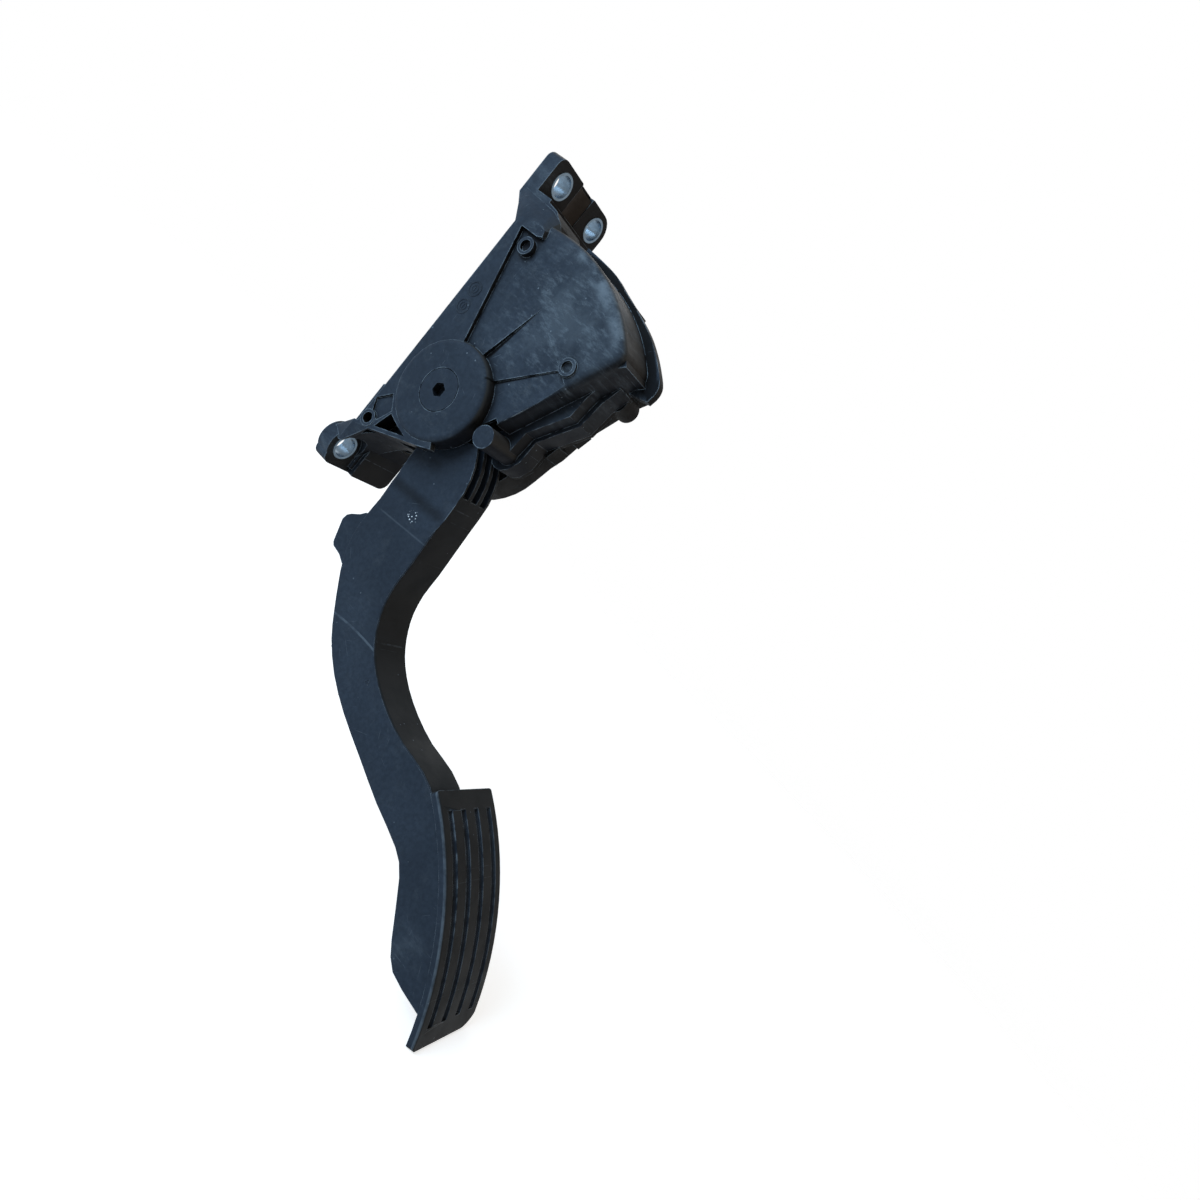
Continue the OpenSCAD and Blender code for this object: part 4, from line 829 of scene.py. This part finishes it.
def add_coil(mesh, low, high, wire, turns, per_turn=28, sides=10):
    """Round wire wound along Y between two corners, with its ends laid flat."""
    middle = (low + high) / 2
    radius = (high.x - low.x - wire) / 2
    rings = []
    for i in range(turns * per_turn + 1):
        t = i / per_turn
        climb = min(max((t - FLAT_TURNS) / (turns - 2 * FLAT_TURNS), 0.0), 1.0)
        y = high.y - wire / 2 - climb * (high.y - low.y - wire)
        a = 2 * math.pi * t
        out = Vector((math.cos(a), 0, math.sin(a)))
        rings.append([mesh.verts.new(Vector((middle.x, y, middle.z))
                                     + out * (radius + wire / 2 * math.cos(w))
                                     + Vector((0, wire / 2 * math.sin(w), 0)))
                      for w in turn_angles(sides)])
    join_rings(mesh, rings)


def build_springs():
    """The two nested return springs between the fixed seat and the arm's cup, wound as coils in place of the CAD
    ones.
    """
    for node, wire, turns in SPRINGS:
        low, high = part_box(node)
        spring = new_piece(node + "_coil", lambda mesh: add_coil(mesh, low, high, wire, turns),
                           None, FINISHES["spring_steel"])
        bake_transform(spring)
        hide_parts(node)


def build_floor():
    """A wide pale disc under the pad's lowest point, which fades into the surround."""
    mesh = bmesh.new()
    bmesh.ops.create_circle(mesh, cap_ends=True, radius=FLOOR_RADIUS, segments=96)
    data = bpy.data.meshes.new("floor")
    mesh.to_mesh(data)
    mesh.free()
    floor = linked_object("floor", data)
    floor.location = (0, 0, cad_box[0].z)
    s = Shader("pale_floor")
    drift = s.band(s.noise(1.2, detail=3.0), 0.3, 0.7)
    s.feed("Base Color", s.mix(drift, PALE_FLOOR, scaled(PALE_FLOOR, 0.985)))
    s.set("Roughness", 0.9)
    s.set("Specular IOR Level", 0.1)
    s.set("Emission Color", WHITE)
    s.feed("Emission Strength", s.product(seen_directly(s.tree), FLOOR_GLOW))
    clear = s.node("ShaderNodeBsdfTransparent")
    fade = s.node("ShaderNodeMixShader")
    below = s.node("ShaderNodeNewGeometry").outputs["Backfacing"]
    from_above = s.math("SUBTRACT", 1.0, below)
    s.link(s.product(s.near((0, 0, 0), *FLOOR_FADE), from_above), fade.inputs["Fac"])
    s.link(clear.outputs["BSDF"], fade.inputs[1])
    s.link(s.bsdf.outputs["BSDF"], fade.inputs[2])
    s.link(fade.outputs["Shader"], s.output.inputs["Surface"])
    data.materials.append(s.material)


def seen_directly(tree):
    """One for rays from the camera, a mirror or glass, zero for those that only light things."""
    path = tree.nodes.new("ShaderNodeLightPath")
    total = path.outputs["Is Camera Ray"]
    for other in ("Is Glossy Ray", "Is Transmission Ray"):
        join = tree.nodes.new("ShaderNodeMath")
        join.operation = "MAXIMUM"
        tree.links.new(total, join.inputs[0])
        tree.links.new(path.outputs[other], join.inputs[1])
        total = join.outputs["Value"]
    return total


def build_world():
    """An even pale surround: white where it is seen or mirrored, softer where it lights."""
    world = bpy.data.worlds.new("studio")
    bpy.context.scene.world = world
    world.use_nodes = True
    tree = world.node_tree
    tree.nodes.clear()
    output = tree.nodes.new("ShaderNodeOutputWorld")
    mix = tree.nodes.new("ShaderNodeMixShader")
    tree.links.new(seen_directly(tree), mix.inputs["Fac"])
    for socket, colour, strength in ((1, SURROUND_TINT, SURROUND_STRENGTH), (2, WHITE, 1.0)):
        background = tree.nodes.new("ShaderNodeBackground")
        background.inputs["Color"].default_value = colour
        background.inputs["Strength"].default_value = strength
        tree.links.new(background.outputs["Background"], mix.inputs[socket])
    tree.links.new(mix.outputs["Shader"], output.inputs["Surface"])


def build_lights():
    """A cool key from the left and above, a weak warm fill from behind the driver's foot and a
    weak rim light from the right and above."""
    for name, place, side, watts, colour in LAMPS:
        data = bpy.data.lights.new(name, "AREA")
        data.shape = "SQUARE"
        data.size = side
        data.energy = watts
        data.color = colour
        lamp = linked_object(name, data)
        lamp.location = place
        lamp.rotation_euler = (LAMPS_AIM - Vector(place)).to_track_quat("-Z", "Y").to_euler()


def build_camera():
    data = bpy.data.cameras.new("photo_camera")
    data.lens = CAMERA_LENS
    data.sensor_width = CAMERA_SENSOR
    data.clip_start, data.clip_end = CAMERA_CLIP
    camera = linked_object("photo_camera", data)
    forward = CAMERA_UP.cross(CAMERA_RIGHT).normalized()
    turn = Matrix((CAMERA_RIGHT, CAMERA_UP, -forward)).transposed().to_4x4()
    turn.translation = CAMERA_AT
    camera.matrix_world = turn
    bpy.context.scene.camera = camera


bpy.context.scene.view_settings.view_transform = "Standard"
build_camera()
build_world()
build_lights()
build_floor()
dress_nodes()
build_date_rings()
build_mould_mark()
build_boss_floors()
build_lug_valley()
build_pad_land()
build_springs()
